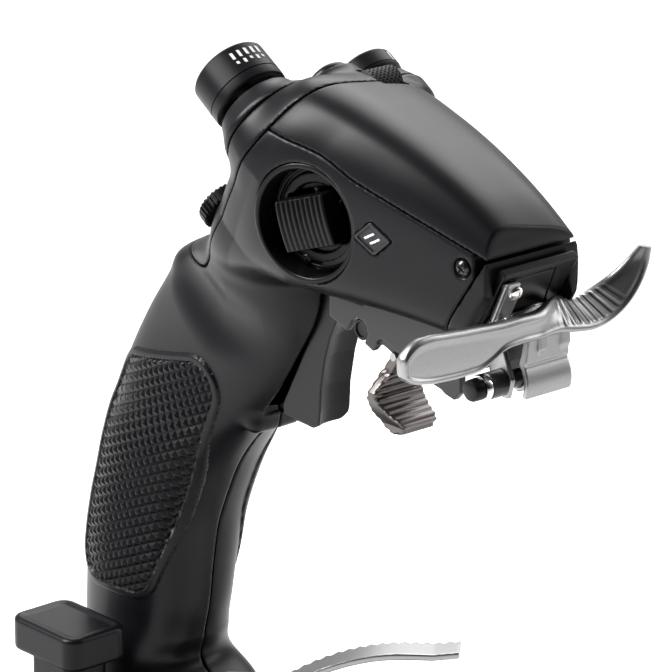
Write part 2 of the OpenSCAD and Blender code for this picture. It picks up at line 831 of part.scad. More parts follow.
// Section of the strap: a rounded bar, in the plane across its run
function strap_ring(row) =
    let (
        turn = len(row) > 5 ? row[5] : 0,
        tilt = row[4],
        up = [0, -sin(tilt), cos(tilt)],
        out = [0, cos(tilt), sin(tilt)],
        lift = [sin(turn), 0, cos(turn)],
        o2 = [out[2] * lift[0], out[1], out[2] * lift[2]],
        u2 = [up[2] * lift[0], up[1], up[2] * lift[2]],
        c = [row[0], FOLD_Y + row[1], row[2]] + u2 * row[3] / 2
    )
    [for (i = [0 : 11]) let (a = i * 30 + 15)
        c + u2 * row[3] / 2 * spow(cos(a), 0.7) + o2 * strap_t / 2 * spow(sin(a), 0.7)];

// Rolled plate in front of the hinge, as [forward, height]
PLATE_R = [8, 9.6];
module fold_plate() {
    polygon(concat(
        [for (a = [-20 : 10 : 40]) [FOLD_Y + PLATE_R[1] * cos(a), FOLD_Z + PLATE_R[1] * sin(a)]],
        [[167.6, 236], [165.6, 236]],
        [for (a = [40 : -10 : -20]) [FOLD_Y + PLATE_R[0] * cos(a), FOLD_Z + PLATE_R[0] * sin(a)]]
    ));
}

module folding_trigger() {
    color("#a9a6a2") {
        loft([for (r = concat(STRAP, CURL)) strap_ring(r)]);
        difference() {
            union() {
                for (x = [-9.6, -1]) translate([x, 0, 0]) rotate([90, 0, 90]) linear_extrude(3.6)
                    polygon([[156.6, 220.7], [157.6, 217.4], [160, 216.3], [162.5, 217.4], [164, 221], [169, 231],
                        [169, 236.5], [166.5, 236.5], [165, 231], [160, 224]]);
                translate([-9.6, 0, 0]) rotate([90, 0, 90]) linear_extrude(17.6) fold_plate();
            }
            translate([0, FOLD_Y, FOLD_Z]) xcyl(2.6 + run_gap, -20, 20);
        }
    }
}

// ---------------------------------------------------------------- lower front lever

LEVER_AT = [-13, 39.2, 80];
LEVER_YAW = 134.3;
module in_lever() {
    translate(LEVER_AT) rotate([0, 0, LEVER_YAW]) children();
}

module lever_bracket() {
    color("#2b2c2f") in_lever() difference() {
        for (s = [-1, 1]) block([-27, s > 0 ? 6.2 : -8.4, -4.5], [4.5, s > 0 ? 8.4 : -6.2, 5]);
        rotate([0, 0, 90]) xcyl(1.5, -12, 12);
        rotate([0, 0, -LEVER_YAW]) translate(-LEVER_AT) grip_clear();
    }
}

module lever_pin() {
    color("#b0b1b5") in_lever() rotate([0, 0, 90]) xcyl(1.5, -8.4, 8.4);
}

// Upper edge of the lever in its own plane against reach, a rising then flattening arc
LEVER_TOP = 18.3;
LEVER_RISE = 17.3;
LEVER_FLAT = 46;
LEVER_LEN = 55;
function lever_curve(r) =
    let (s = r + 7)
    LEVER_TOP - LEVER_RISE * pow(1 - min(s, LEVER_FLAT) / LEVER_FLAT, 2) + 0.9 * max(0, s - 54) / 7;

module brake_lever() {
    steps = 16;
    color("#9b9894") in_lever() {
        difference() {
            union() {
                rotate([90, 0, 0]) translate([0, 0, -5.5]) linear_extrude(11)
                    polygon(concat(
                        [for (i = [0 : steps]) let (s = i * LEVER_LEN / steps) [s, lever_curve(s) - 2.4]],
                        [for (i = [steps : -1 : 0]) let (s = i * LEVER_LEN / steps) [s, lever_curve(s)]]
                    ));
                rotate([0, 0, 90]) xcyl(4, -5.6, 5.6);
            }
            rotate([0, 0, 90]) xcyl(1.5 + run_gap, -12, 12);
        }
    }
}

// ---------------------------------------------------------------- hand rest

REST_X = 36.5;
REST_Y = -5.5;
REST_Z = 95;
module rest_socket() {
    color("#232325") difference() {
        union() {
            translate([REST_X, REST_Y, 70]) cylinder(r = 6.5, h = 10);
            block([18, REST_Y - 5, 74.5], [REST_X - 4.4, REST_Y + 5, 80]);
        }
        translate([REST_X, REST_Y, 60]) cylinder(r = 4.05, h = 30);
        grip_clear();
    }
}

// Space of the grip's lower end, kept clear by what is fixed to it
module grip_clear() {
    loft(grip_rings(-0.05, grip_bottom - 4, 98));
}

module rest_post() {
    color("#141415") {
        translate([REST_X, REST_Y, 68]) cylinder(r = 4, h = REST_Z - 68);
        translate([REST_X, REST_Y, 84]) linear_extrude(REST_Z - 84) round_rect(16, 20, 3);
    }
}

module rest_pad() {
    color("#1a1a1c") translate([REST_X, REST_Y, REST_Z]) linear_extrude(106 - REST_Z) round_rect(23, 32, 5);
}

// ---------------------------------------------------------------- screws in the nose

HEAD_SCREW = [19.6, 74, 15];
module in_head_screw(side) {
    in_head() translate([side * HEAD_SCREW[0], HEAD_SCREW[1], HEAD_SCREW[2]]) mirror([side < 0 ? 1 : 0, 0, 0])
        rotate([0, -6, 12]) children();
}

module head_screws() {
    color("#3c3d40") for (s = [-1, 1]) in_head_screw(s) {
        xcyl(2.2, -0.4, 1.2);
        xcyl(1.2, -3.4, -0.3);
    }
}

base_bottom();
base_top();
base_feet();
base_screws();
base_weight();
gimbal_frame();
base_board();
data_socket();
centring_spring();
gimbal_ring();
roll_pins();
gimbal_block();
pitch_pin();
stick_shaft();
dust_dome();
collar_nut();
grip_shell_right();
grip_shell_left();
grip_pad_right();
grip_pad_left();
rear_cover();
head_top_shell();
side_panel_right();
side_panel_left();
nose_plate();
badge_plate();
switch_bezel();
switch_screws();
side_rocker();
rocker_pin();
hat_right_collar();
hat_left_collar();
hat_right_cap();
hat_left_cap();
hat_right_ball();
hat_left_ball();
hat_posts();
thumb_button();
scroll_wheel();
wheel_axle();
thumb_dial();
trigger_frame();
trigger_pin();
main_trigger();
carriage_cheeks();
carriage_bridge();
carriage_pin();
front_paddle();
paddle_pin();
hinge_bracket();
bracket_screws();
fold_pin();
folding_trigger();
lever_bracket();
lever_pin();
brake_lever();
rest_socket();
rest_post();
rest_pad();
head_screws();
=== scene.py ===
import json
import math

import bmesh
import bpy
import numpy as np
import openvdb
from mathutils import Matrix, Vector

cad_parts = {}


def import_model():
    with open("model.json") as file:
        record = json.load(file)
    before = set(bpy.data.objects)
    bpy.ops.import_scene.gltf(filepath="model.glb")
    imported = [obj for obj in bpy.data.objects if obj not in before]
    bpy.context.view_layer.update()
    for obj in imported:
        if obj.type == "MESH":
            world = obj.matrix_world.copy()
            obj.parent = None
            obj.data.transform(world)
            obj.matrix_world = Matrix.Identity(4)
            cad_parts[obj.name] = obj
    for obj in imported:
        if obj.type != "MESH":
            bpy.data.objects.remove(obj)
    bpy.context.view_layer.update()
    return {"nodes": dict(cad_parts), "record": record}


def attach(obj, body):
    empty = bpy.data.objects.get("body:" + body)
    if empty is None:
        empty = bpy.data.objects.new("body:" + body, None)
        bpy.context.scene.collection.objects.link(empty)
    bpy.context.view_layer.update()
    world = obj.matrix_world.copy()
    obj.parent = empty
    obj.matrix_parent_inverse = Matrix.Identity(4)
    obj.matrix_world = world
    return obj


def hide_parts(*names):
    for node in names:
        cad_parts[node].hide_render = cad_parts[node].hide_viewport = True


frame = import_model()

MM = 0.001
STICK = "stick"

# ---------------------------------------------------------------- the head's axes, in millimetres

# The head is pitched nose down: f runs forward along it, w runs up from it.
HEAD_AT = np.array([0.0, 85.0, 283.0])
PITCH = math.radians(33)
F_DIR = np.array([0, math.cos(PITCH), -math.sin(PITCH)])
W_DIR = np.array([0, math.sin(PITCH), math.cos(PITCH)])
X_DIR = np.array([1.0, 0, 0])
HEAD_AXES = np.array([X_DIR, F_DIR, W_DIR])
NOSE_F = 88.5
FACE_F = 84.5
REAR_F = -11


def head_to_row(p):
    """A point in the head's axes (x, f, w) as a point in the row frame."""
    return HEAD_AT + np.asarray(p, float) @ HEAD_AXES


def fw_of(y, z):
    dy, dz = y - HEAD_AT[1], z - HEAD_AT[2]
    return dy * F_DIR[1] + dz * F_DIR[2], dy * W_DIR[1] + dz * W_DIR[2]


# ---------------------------------------------------------------- implicit solids


def smin(a, b, k):
    """Union of two solids with a fillet of about k."""
    h = np.clip(0.5 + 0.5 * (b - a) / k, 0, 1)
    return b * (1 - h) + a * h - k * h * (1 - h)


def smax(a, b, k):
    """Intersection of two solids with an edge rounded by about k."""
    return -smin(-a, -b, k)


def through(t, xs, ys):
    """A smooth curve through the points (xs, ys), held flat beyond its ends."""
    xs, ys = np.asarray(xs, float), np.asarray(ys, float)
    slope = np.gradient(ys, xs)
    t = np.clip(t, xs[0], xs[-1])
    i = np.clip(np.searchsorted(xs, t) - 1, 0, len(xs) - 2)
    h = xs[i + 1] - xs[i]
    u = (t - xs[i]) / h
    return (
        ys[i] * (1 + 2 * u) * (1 - u) ** 2
        + slope[i] * h * u * (1 - u) ** 2
        + ys[i + 1] * u * u * (3 - 2 * u)
        + slope[i + 1] * h * u * u * (u - 1)
    )


def column(table, t, i):
    return through(t, [r[0] for r in table], [r[i] for r in table])


# Head section along its length: station, half width, top, bottom
HEAD = [
    (-11, 30.5, 7, -62), (0, 34, 12, -60), (20, 31.5, 19, -46.6), (40, 27.5, 24, -33.6),
    (60, 23, 27, -20.6), (88.5, 17.4, 27.6, -4),
]
HEAD_ROLL, NOSE_ROLL = 0.22, 0.17
BROW_W, BROW_ROLL = 24.0, 0.2
REAR_TAPER = 0.2
HEAD_LEAN = 0.08
# Grip section against height: height, centre, half depth, half width
GRIP = [
    (74, 0.9, 29.6, 23), (80, -0.5, 29, 23.2), (88, -6.5, 22.5, 21), (98, -7.5, 24.3, 19.2), (110, -6.3, 26, 18.6),
    (123, -4.8, 26.3, 19.5), (139, -1.4, 26.2, 20), (149, 2.1, 26.8, 20), (163, 7.8, 28.6, 20),
    (171, 12, 31, 19), (178, 17, 33.4, 17.5), (191, 26, 36.2, 16.5), (205, 35.2, 36.7, 16.5),
    (218, 44, 35.4, 18), (226, 48, 33.5, 19.5), (232, 53, 27.5, 21), (240, 63, 21, 22), (262, 74, 15, 18),
]
GRIP_BOTTOM = 74


def oval(x, v, half_x, half_v, n):
    """Rough distance to a superellipse section."""
    big = (np.abs(x / half_x) ** n + np.abs(v / half_v) ** n) ** (1 / n)
    return np.sqrt(x * x + v * v) * (1 - 1 / np.maximum(big, 1e-3))


def head_field(x, y, z):
    f, w = fw_of(y, z)
    half = column(HEAD, f, 1)
    top, bottom = column(HEAD, f, 2), column(HEAD, f, 3)
    mid, tall = (top + bottom) / 2, (top - bottom) / 2
    up = np.clip((w - mid) / tall, 0, 1.4)
    roll = HEAD_ROLL + (NOSE_ROLL - HEAD_ROLL) * np.clip(f / NOSE_F, 0, 1) ** 2
    rolled = tall + roll * x * up
    v = (w - mid) / rolled
    taper = REAR_TAPER * np.clip((-14 - w) / 28, 0, 1) * np.clip((28 - f) / 23, 0, 1)
    wide = x / ((1 - HEAD_LEAN * np.clip(v, -1.2, 1.2)) * (1 - taper))
    power = np.where(w > mid, 3.3 + 1.6 * np.clip(f / NOSE_F, 0, 1) ** 2, 4.4)
    d = oval(wide, w - mid, half, rolled, power)
    d = smax(d, REAR_F - f, 10)
    d = smax(d, f - NOSE_F, 3.2)
    face = FACE_F + 3.2 * np.clip((-x - 14.7) / 1.2, 0, 1)
    return smax(d, -smax(face - f, w - BROW_W - BROW_ROLL * x, 1.2), 1.4)


def grip_field(x, y, z):
    mid, deep, half = (column(GRIP, z, i) for i in (1, 2, 3))
    power = np.where(y > mid, 2.5, 2.2)
    d = oval(x, y - mid, half, deep, power)
    d = smax(d, GRIP_BOTTOM - z, 2)
    return smax(d, z - 258, 3)


def capsule(x, y, z, a, b, r):
    """Distance to a round bar from a to b."""
    a, b = np.asarray(a, float), np.asarray(b, float)
    ab = b - a
    px, py, pz = x - a[0], y - a[1], z - a[2]
    t = np.clip((px * ab[0] + py * ab[1] + pz * ab[2]) / (ab @ ab), 0, 1)
    return np.sqrt((px - t * ab[0]) ** 2 + (py - t * ab[1]) ** 2 + (pz - t * ab[2]) ** 2) - r


def boxed(x, y, z, lo, hi, r=0.0):
    """Distance to a box with edges rounded by r."""
    q = [np.abs(v - (a + b) / 2) - (b - a) / 2 + r for v, a, b in zip((x, y, z), lo, hi)]
    outside = np.sqrt(sum(np.maximum(v, 0) ** 2 for v in q))
    return outside + np.minimum(np.maximum(np.maximum(q[0], q[1]), q[2]), 0) - r


# Hats, button, dial and wheel on the rear face: (x, w) in the head's axes
RIGHT_HAT, RIGHT_R = (17.5, -12.0), 12.0
LEFT_HAT, LEFT_R = (-28.0, -14.5), 10.5
RIGHT_COLLAR_H, LEFT_COLLAR_H = 5.9, 2.8
FLARE, FLARE_LENGTH = 2.4, 5
BUTTON, BUTTON_R = (-3.6, -3.5), 7.5
DIAL, DIAL_R = (15.3, -50.3), 8.0
WHEEL = (-11.5, -2.8, 4.3)
WHEEL_R = 5.0

# Hollow that the index finger follows round the neck, on both sides
FINGER_PATH = [(25.5, 28, 224), (25, 45, 212), (24.5, 62, 207.5), (24, 80, 207)]
FINGER_R = 10


def body_field(x, y, z):
    """The whole outer skin of head, neck and grip, before it is split into mouldings."""
    f, w = fw_of(y, z)
    d = smin(head_field(x, y, z), grip_field(x, y, z), 9)
    hollow = None
    for a, b in zip(FINGER_PATH, FINGER_PATH[1:]):
        bar = capsule(np.abs(x), y, z, a, b, FINGER_R)
        hollow = bar if hollow is None else np.minimum(hollow, bar)
    d = smax(d, -hollow, 7)
    ledge = capsule(x, y, z, (-7, 50.5, 178.2), (7, 50.5, 178.2), 2.6)
    d = smin(d, ledge, 5)
    for (hx, hw), r, h, k in ((RIGHT_HAT, RIGHT_R + 0.3, RIGHT_COLLAR_H, 5), (LEFT_HAT, LEFT_R, LEFT_COLLAR_H, 5)):
        flare = FLARE * np.clip((h - 0.8 + f - REAR_F) / FLARE_LENGTH, 0, 1)
        tower = np.sqrt((x - hx) ** 2 + (w - hw) ** 2) - r - 0.3 - flare
        d = smin(d, smax(smax(tower, REAR_F - h - f, 0.8), f, 4), k)
    boss = np.sqrt((x - BUTTON[0]) ** 2 + (w - BUTTON[1]) ** 2) - BUTTON_R - 1.6
    return smin(d, smax(smax(boss, REAR_F - 1.5 - f, 0.8), f, 4), 4)


# ---------------------------------------------------------------- seams between the mouldings

GAP = 0.2  # half the gap at a moulded seam
EDGE = 0.5  # rounding where a moulding ends


def rear_side(x, f, w):
    """Negative behind the seam between the rear cover and the rest."""
    swept = np.clip(-x - 14, 0, 30) * 0.8 * np.clip((w + 14) / 12, 0, 1)
    return smax(f - 0.081 * w - swept, -(w + 76), 14)


SWITCH_F, SWITCH_W = 26.0, -13.6


SEAM_F, SEAM_W = (-40, 0, 11, 82), (-2, -0.5, 4, 23)


def below_seam(f, w):
    """Negative in the part of the side that belongs to the grip halves."""
    line = w - np.interp(f, SEAM_F, SEAM_W)
    ring = np.sqrt((f - SWITCH_F) ** 2 + (w - SWITCH_W) ** 2) - 21.6
    return smax(smin(line, ring, 3), f - 78.5, 1.5)


# Side switch: its own axes, x along its normal
SWITCH_AT = head_to_row((29.3, SWITCH_F, SWITCH_W))
SWITCH_ROLL = math.radians(49)


def turned(yaw, tilt):
    """Unit axes (normal, forward, up) of a part of the right side, in the row frame."""
    y, t = math.radians(yaw), math.radians(tilt)
    n = np.array([math.cos(t) * math.cos(y), math.cos(t) * math.sin(y), math.sin(t)])
    u = np.array([-math.sin(t) * math.cos(y), -math.sin(t) * math.sin(y), math.cos(t)])
    return np.array([n, np.cross(u, n), u]) @ HEAD_AXES


SWITCH_AXES = turned(12, 7)
ROCKER_AXES = np.array([
    SWITCH_AXES[0],
    SWITCH_AXES[1] * math.cos(SWITCH_ROLL) + SWITCH_AXES[2] * math.sin(SWITCH_ROLL),
    SWITCH_AXES[2] * math.cos(SWITCH_ROLL) - SWITCH_AXES[1] * math.sin(SWITCH_ROLL),
])
RECESS_R = 18.0


def local(x, y, z, at, axes):
    dx, dy, dz = x - at[0], y - at[1], z - at[2]
    return [dx * a[0] + dy * a[1] + dz * a[2] for a in axes]


def pockets(x, y, z):
    """Everything cut out of the mouldings, as one solid."""
    f, w = fw_of(y, z)
    n, a, b = local(x, y, z, SWITCH_AT, SWITCH_AXES)
    cut = smax(np.sqrt(a * a + b * b) - RECESS_R, -(n + 11), 0.5)
    slot = boxed(x, y, z, (-6.7, 53, 182), (6.7, 103, 240), 1.0)
    cut = np.minimum(cut, slot)
    cut = np.minimum(cut, boxed(x, y, z, (-15.6, 100, 224), (15.6, 150, 239), 0.6))
    cut = np.minimum(cut, boxed(x, f, w, (-14.6, FACE_F - 3, -3.6), (14.6, FACE_F + 9, 21), 0.8))
    wheel = boxed(x, f, w, (WHEEL[0] - 6, WHEEL[1] - 5.5, -2), (WHEEL[0] + 6, WHEEL[1] + 5.5, 40), 0.6)
    cut = np.minimum(cut, wheel)
    button = np.sqrt((x - BUTTON[0]) ** 2 + (w - BUTTON[1]) ** 2) - BUTTON_R - 0.4
    cut = np.minimum(cut, smax(button, f - 2, 0.5))
    dial = np.sqrt((x - DIAL[0]) ** 2 + (w - DIAL[1]) ** 2) - DIAL_R + 1.5
    cut = np.minimum(cut, smax(dial, f - 2, 0.5))
    for hx, hw in (RIGHT_HAT, LEFT_HAT):
        bore = np.sqrt((x - hx) ** 2 + (w - hw) ** 2) - 5.6
        cut = np.minimum(cut, smax(bore, f - 2, 0.5))
    slit = capsule(x, y, z, (14.5, 4, 205.6), (14.5, 9, 210.8), 1.4)
    cut = np.minimum(cut, slit)
    for s in (1, -1):
        n, a, b = local(x * s, y, z, SCREW_AT, SCREW_AXES)
        cut = np.minimum(cut, smax(np.sqrt(a * a + b * b) - 2.9, -(n + 2.0), 0.4))
    return cut


SCREW_AT = head_to_row((20.6, 74, 15))
SCREW_AXES = turned(12, 6)
BADGE_AT = head_to_row((27.6, 47, 0.6))
BADGE_AXES = turned(13, 5)

SHELL = 3.6
SOLID_NOSE_F = 74.0
DETAIL = 0.5


def mesh_object(name, points, faces, smooth=True, sharp_deg=40):
    mesh = bpy.data.meshes.new(name)
    mesh.from_pydata([tuple(p) for p in np.asarray(points) * MM], [], [tuple(f) for f in faces])
    mesh.validate()
    mesh.update()
    obj = bpy.data.objects.new(name, mesh)
    bpy.context.scene.collection.objects.link(obj)
    if smooth:
        mesh.shade_smooth()
        mesh.set_sharp_from_angle(angle=math.radians(sharp_deg))
    return obj


def big_mesh(name, points, quads, tris=()):
    """Builds a large mesh straight from arrays."""
    mesh = bpy.data.meshes.new(name)
    loops = np.concatenate([np.asarray(quads).reshape(-1), np.asarray(tris).reshape(-1)]).astype(np.int32)
    sizes = np.concatenate([np.full(len(quads), 4), np.full(len(tris), 3)]).astype(np.int32)
    starts = np.concatenate([[0], np.cumsum(sizes)[:-1]]).astype(np.int32)
    mesh.vertices.add(len(points))
    mesh.vertices.foreach_set("co", (np.asarray(points) * MM).astype(np.float32).reshape(-1))
    mesh.loops.add(len(loops))
    mesh.loops.foreach_set("vertex_index", loops)
    mesh.polygons.add(len(sizes))
    mesh.polygons.foreach_set("loop_start", starts)
    mesh.update(calc_edges=True)
    mesh.validate()
    mesh.shade_smooth()
    obj = bpy.data.objects.new(name, mesh)
    bpy.context.scene.collection.objects.link(obj)
    return obj


def from_field(name, field, lo, hi, step, sharp_deg=38):
    """Meshes the solid where field(x, y, z) is negative, inside a box in millimetres."""
    axes = [np.arange(a - 2 * step, b + 3 * step, step, dtype=np.float32) for a, b in zip(lo, hi)]
    x, y, z = axes[0][:, None, None], axes[1][None, :, None], axes[2][None, None, :]
    values = np.broadcast_to(field(x, y, z), tuple(len(a) for a in axes)).astype(np.float32)
    values = np.ascontiguousarray(values)
    values[[0, -1]] = np.maximum(values[[0, -1]], step)
    values[:, [0, -1]] = np.maximum(values[:, [0, -1]], step)
    values[:, :, [0, -1]] = np.maximum(values[:, :, [0, -1]], step)
    grid = openvdb.FloatGrid(3 * step)
    grid.copyFromArray(values)
    points, tris, quads = grid.convertToPolygons(0.0, 0.0)
    points = points * step + np.array([a[0] for a in axes])
    obj = big_mesh(name, points, quads[:, ::-1], tris[:, ::-1] if len(tris) else np.zeros((0, 3), int))
    obj.data.set_sharp_from_angle(angle=math.radians(sharp_deg))
    return obj


def skinned(x, y, z, f):
    """The outer skin with its inside hollowed and its pockets cut."""
    body = body_field(x, y, z)
    d = np.maximum(body, -np.maximum(body + SHELL, f - SOLID_NOSE_F))
    d = smax(d, -pockets(x, y, z), EDGE)
    return smax(d, -np.maximum(badge_outline(x, y, z) - 0.15, -body - 1.4), 0.3)


def badge_outline(x, y, z):
    """Negative inside the leaning outline of the badge, on the right side."""
    n, a, b = local(x, y, z, BADGE_AT, BADGE_AXES)
    qa, qb = np.abs(a - 0.3 * b) - 3.4, np.abs(b) - 3.0
    plan = np.sqrt(np.maximum(qa, 0) ** 2 + np.maximum(qb, 0) ** 2) + np.minimum(np.maximum(qa, qb), 0) - 0.9
    return np.maximum(plan, -n - 6)


def half_field(side):
    def field(x, y, z):
        f, w = fw_of(y, z)
        d = skinned(x, y, z, f)
        d = smax(d, GAP - rear_side(x, f, w), EDGE)
        d = smax(d, below_seam(f, w) + GAP, EDGE)
        return smax(d, GAP - side * x, EDGE)

    return field


# The turrets are mouldings of their own, this wide, behind the plane f = TURRET_F
RIGHT_ZONE_R, LEFT_ZONE_R = RIGHT_R + 6, LEFT_R + 4.5
TURRET_F = -9.2


def turret_zone(x, f, w):
    """Negative in the parts of the rear that belong to the two hat turrets."""
    zone = None
    for (hx, hw), r in ((RIGHT_HAT, RIGHT_ZONE_R), (LEFT_HAT, LEFT_ZONE_R)):
        near = np.sqrt((x - hx) ** 2 + (w - hw) ** 2) - r
        zone = near if zone is None else np.minimum(zone, near)
    return np.maximum(zone, f - TURRET_F)


def top_field(x, y, z):
    f, w = fw_of(y, z)
    d = skinned(x, y, z, f)
    d = smax(d, GAP - rear_side(x, f, w), EDGE)
    return smax(d, GAP - below_seam(f, w), EDGE)


def rear_field(x, y, z):
    f, w = fw_of(y, z)
    d = skinned(x, y, z, f)
    d = smax(d, rear_side(x, f, w) + GAP, EDGE)
    return smax(d, GAP - turret_zone(x, f, w), EDGE)


def turret_field(hat, r):
    def field(x, y, z):
        f, w = fw_of(y, z)
        d = smax(body_field(x, y, z), -pockets(x, y, z), EDGE)
        d = smax(d, f - TURRET_F + GAP, EDGE)
        away = np.sqrt((x - hat[0]) ** 2 + (w - hat[1]) ** 2)
        return smax(d, away - r + GAP, EDGE)

    return field


# ---------------------------------------------------------------- materials


def material(
    name, color, rough, bump=0.2, scale=900.0, metallic=0.0, specular=0.5, coat=0.0, vary=0.06, stretch=None
):
    """A procedural finish: fine grain, a slow roughness drift and a slight colour drift."""
    mat = bpy.data.materials.new(name)
    mat.use_nodes = True
    nodes, links = mat.node_tree.nodes, mat.node_tree.links
    shader = nodes["Principled BSDF"]
    shader.inputs["Metallic"].default_value = metallic
    shader.inputs["Specular IOR Level"].default_value = specular
    shader.inputs["Coat Weight"].default_value = coat
    coords = nodes.new("ShaderNodeTexCoord")
    mapping = nodes.new("ShaderNodeMapping")
    mapping.inputs["Scale"].default_value = stretch or (1, 1, 1)
    links.new(coords.outputs["Object"], mapping.inputs["Vector"])
    grain = nodes.new("ShaderNodeTexNoise")
    grain.inputs["Scale"].default_value = scale
    grain.inputs["Detail"].default_value = 4.0
    links.new(mapping.outputs["Vector"], grain.inputs["Vector"])
    drift = nodes.new("ShaderNodeTexNoise")
    drift.inputs["Scale"].default_value = 28.0
    drift.inputs["Detail"].default_value = 5.0
    links.new(coords.outputs["Object"], drift.inputs["Vector"])
    tone = nodes.new("ShaderNodeMapRange")
    tone.inputs["To Min"].default_value = rough - vary
    tone.inputs["To Max"].default_value = rough + vary
    links.new(drift.outputs["Fac"], tone.inputs["Value"])
    links.new(tone.outputs["Result"], shader.inputs["Roughness"])
    mix = nodes.new("ShaderNodeMixRGB")
    mix.inputs["Color1"].default_value = (*[c * 0.86 for c in color], 1)
    mix.inputs["Color2"].default_value = (*[min(1, c * 1.14) for c in color], 1)
    links.new(grain.outputs["Fac"], mix.inputs["Fac"])
    links.new(mix.outputs["Color"], shader.inputs["Base Color"])
    dents = nodes.new("ShaderNodeBump")
    dents.inputs["Strength"].default_value = bump
    dents.inputs["Distance"].default_value = 0.0001
    links.new(grain.outputs["Fac"], dents.inputs["Height"])
    links.new(dents.outputs["Normal"], shader.inputs["Normal"])
    return mat


MATS = {
    "shell_black": material("Moulded black plastic", (0.0032, 0.0032, 0.0044), 0.36, 0.10, 2200, specular=0.17),
    "pad_black": material("Black pad rubber", (0.004, 0.004, 0.005), 0.34, 0.15, 1600, specular=0.17),
    "soft_black": material("Satin black plastic", (0.0035, 0.0035, 0.0042), 0.28, 0.08, 1800, specular=0.17),
    "trim_grey": material("Dark grey plastic", (0.014, 0.014, 0.016), 0.40, 0.12, 1500, specular=0.3),
    "dark_metal": material("Black anodised metal", (0.03, 0.03, 0.032), 0.34, 0.1, 1500, metallic=0.6),
    "gun_metal": material("Gunmetal", (0.11, 0.10, 0.097), 0.34, 0.2, 1100, metallic=1.0),
    "steel": material("Satin steel", (0.30, 0.295, 0.295), 0.34, 0.12, 700, metallic=1.0, stretch=(1, 6, 6)),
    "screw_steel": material("Blackened screw steel", (0.05, 0.05, 0.052), 0.24, 0.1, 1500, metallic=0.9),
    "rubber": material("Rubber", (0.012, 0.012, 0.012), 0.6, 0.3, 1200, specular=0.35),
    "board_green": material("Circuit board", (0.01, 0.09, 0.035), 0.45, 0.1, 900),
    "chrome": material("Bright steel", (0.75, 0.73, 0.70), 0.14, 0.05, 700, metallic=1.0),
    "mark": material("White marking", (0.75, 0.75, 0.75), 0.5, 0.05, 1500),
}


def finish_with(obj, mat):
    obj.data.materials.clear()
    obj.data.materials.append(MATS[mat])
    return obj


SLOT_OF = {s["node"]: s["material_slot"] for s in frame["record"]["subparts"]}
for node, obj in frame["nodes"].items():
    finish_with(obj, SLOT_OF[node])


right_half = from_field("grip_half_right", half_field(1), (-1, -32, 72), (38, 158, 300), DETAIL)
left_half = from_field("grip_half_left", half_field(-1), (-38, -32, 72), (1, 158, 300), DETAIL)
top_shell = from_field("head_top_moulding", top_field, (-38, 75, 225), (38, 162, 312), DETAIL)
rear_moulding = from_field("rear_cover_moulding", rear_field, (-38, 20, 215), (38, 104, 312), DETAIL)
right_turret = from_field(
    "hat_turret_right", turret_field(RIGHT_HAT, RIGHT_ZONE_R), (-2, 40, 258), (38, 80, 306), DETAIL * 0.8
)
left_turret = from_field(
    "hat_turret_left", turret_field(LEFT_HAT, LEFT_ZONE_R), (-44, 44, 252), (-9, 84, 300), DETAIL * 0.8
)
for obj, nodes, name in (
    (right_half, ("grip_shell_right", "side_panel_right"), "shell_black"),
    (left_half, ("grip_shell_left", "side_panel_left"), "shell_black"),
    (top_shell, ("head_top_shell",), "shell_black"),
    (rear_moulding, ("rear_cover",), "shell_black"),
    (right_turret, ("hat_right_collar",), "shell_black"),
    (left_turret, ("hat_left_collar",), "shell_black"),
):
    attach(obj, STICK)
    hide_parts(*nodes)
    finish_with(obj, name)

# ---------------------------------------------------------------- detailed pieces

FINE = 0.3
BACK_DIR = -F_DIR  # outward from the rear face


def place(obj, body, nodes, mat):
    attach(obj, body)
    if nodes:
        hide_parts(*nodes)
    return finish_with(obj, mat)


def poly(u, v, pts):
    """Distance to a polygon, negative inside."""
    near, sign = 1e9, 1.0
    for (ax, ay), (bx, by) in zip(pts, pts[-1:] + pts[:-1]):
        ex, ey, wx, wy = bx - ax, by - ay, u - ax, v - ay
        t = np.clip((wx * ex + wy * ey) / (ex * ex + ey * ey), 0, 1)
        near = np.minimum(near, (wx - ex * t) ** 2 + (wy - ey * t) ** 2)
        above, below, left = v >= ay, v < by, ex * wy > ey * wx
        flip = (above & below & left) | (~above & ~below & ~left)
        sign = np.where(flip, -sign, sign)
    return sign * np.sqrt(near)


def thick(flat, depth, half, r):
    """A flat outline given a depth of half each way, with its edges rounded by r."""
    a, b = flat + r, np.abs(depth) - half + r
    return np.minimum(np.maximum(a, b), 0) + np.sqrt(np.maximum(a, 0) ** 2 + np.maximum(b, 0) ** 2) - r


def from_local(name, field, lo, hi, step, at, axes, sharp_deg=38):
    """Meshes a field given along its own axes, and sets the result in the row frame."""
    obj = from_field(name, field, lo, hi, step, sharp_deg)
    turn = Matrix(np.array(axes).T.tolist()).to_4x4()
    turn.translation = Vector(np.array(at) * MM)
    obj.data.transform(turn)
    return obj


def axes_along(axis, up=(0, 0, 1)):
    """Right-handed unit axes whose first is the given one."""
    n = np.asarray(axis, float) / np.linalg.norm(axis)
    u = np.asarray(up, float) - n * np.dot(n, up)
    u /= np.linalg.norm(u)
    return np.array([n, np.cross(u, n), u])


def lathe(name, profile, at, axes, turns=96, wave=None, sharp_deg=32):
    """Revolves (distance along the axis, radius) about the first axis."""
    rings = []
    angle = np.linspace(0, 2 * math.pi, turns, endpoint=False)
    for along, r in profile:
        rr = np.full(turns, float(r)) + (wave(angle, along, r) if wave else 0)
        ring = np.asarray(at) + along * axes[0]
        rings.append(ring + np.outer(rr * np.cos(angle), axes[1]) + np.outer(rr * np.sin(angle), axes[2]))
    return loft(name, rings, sharp_deg)


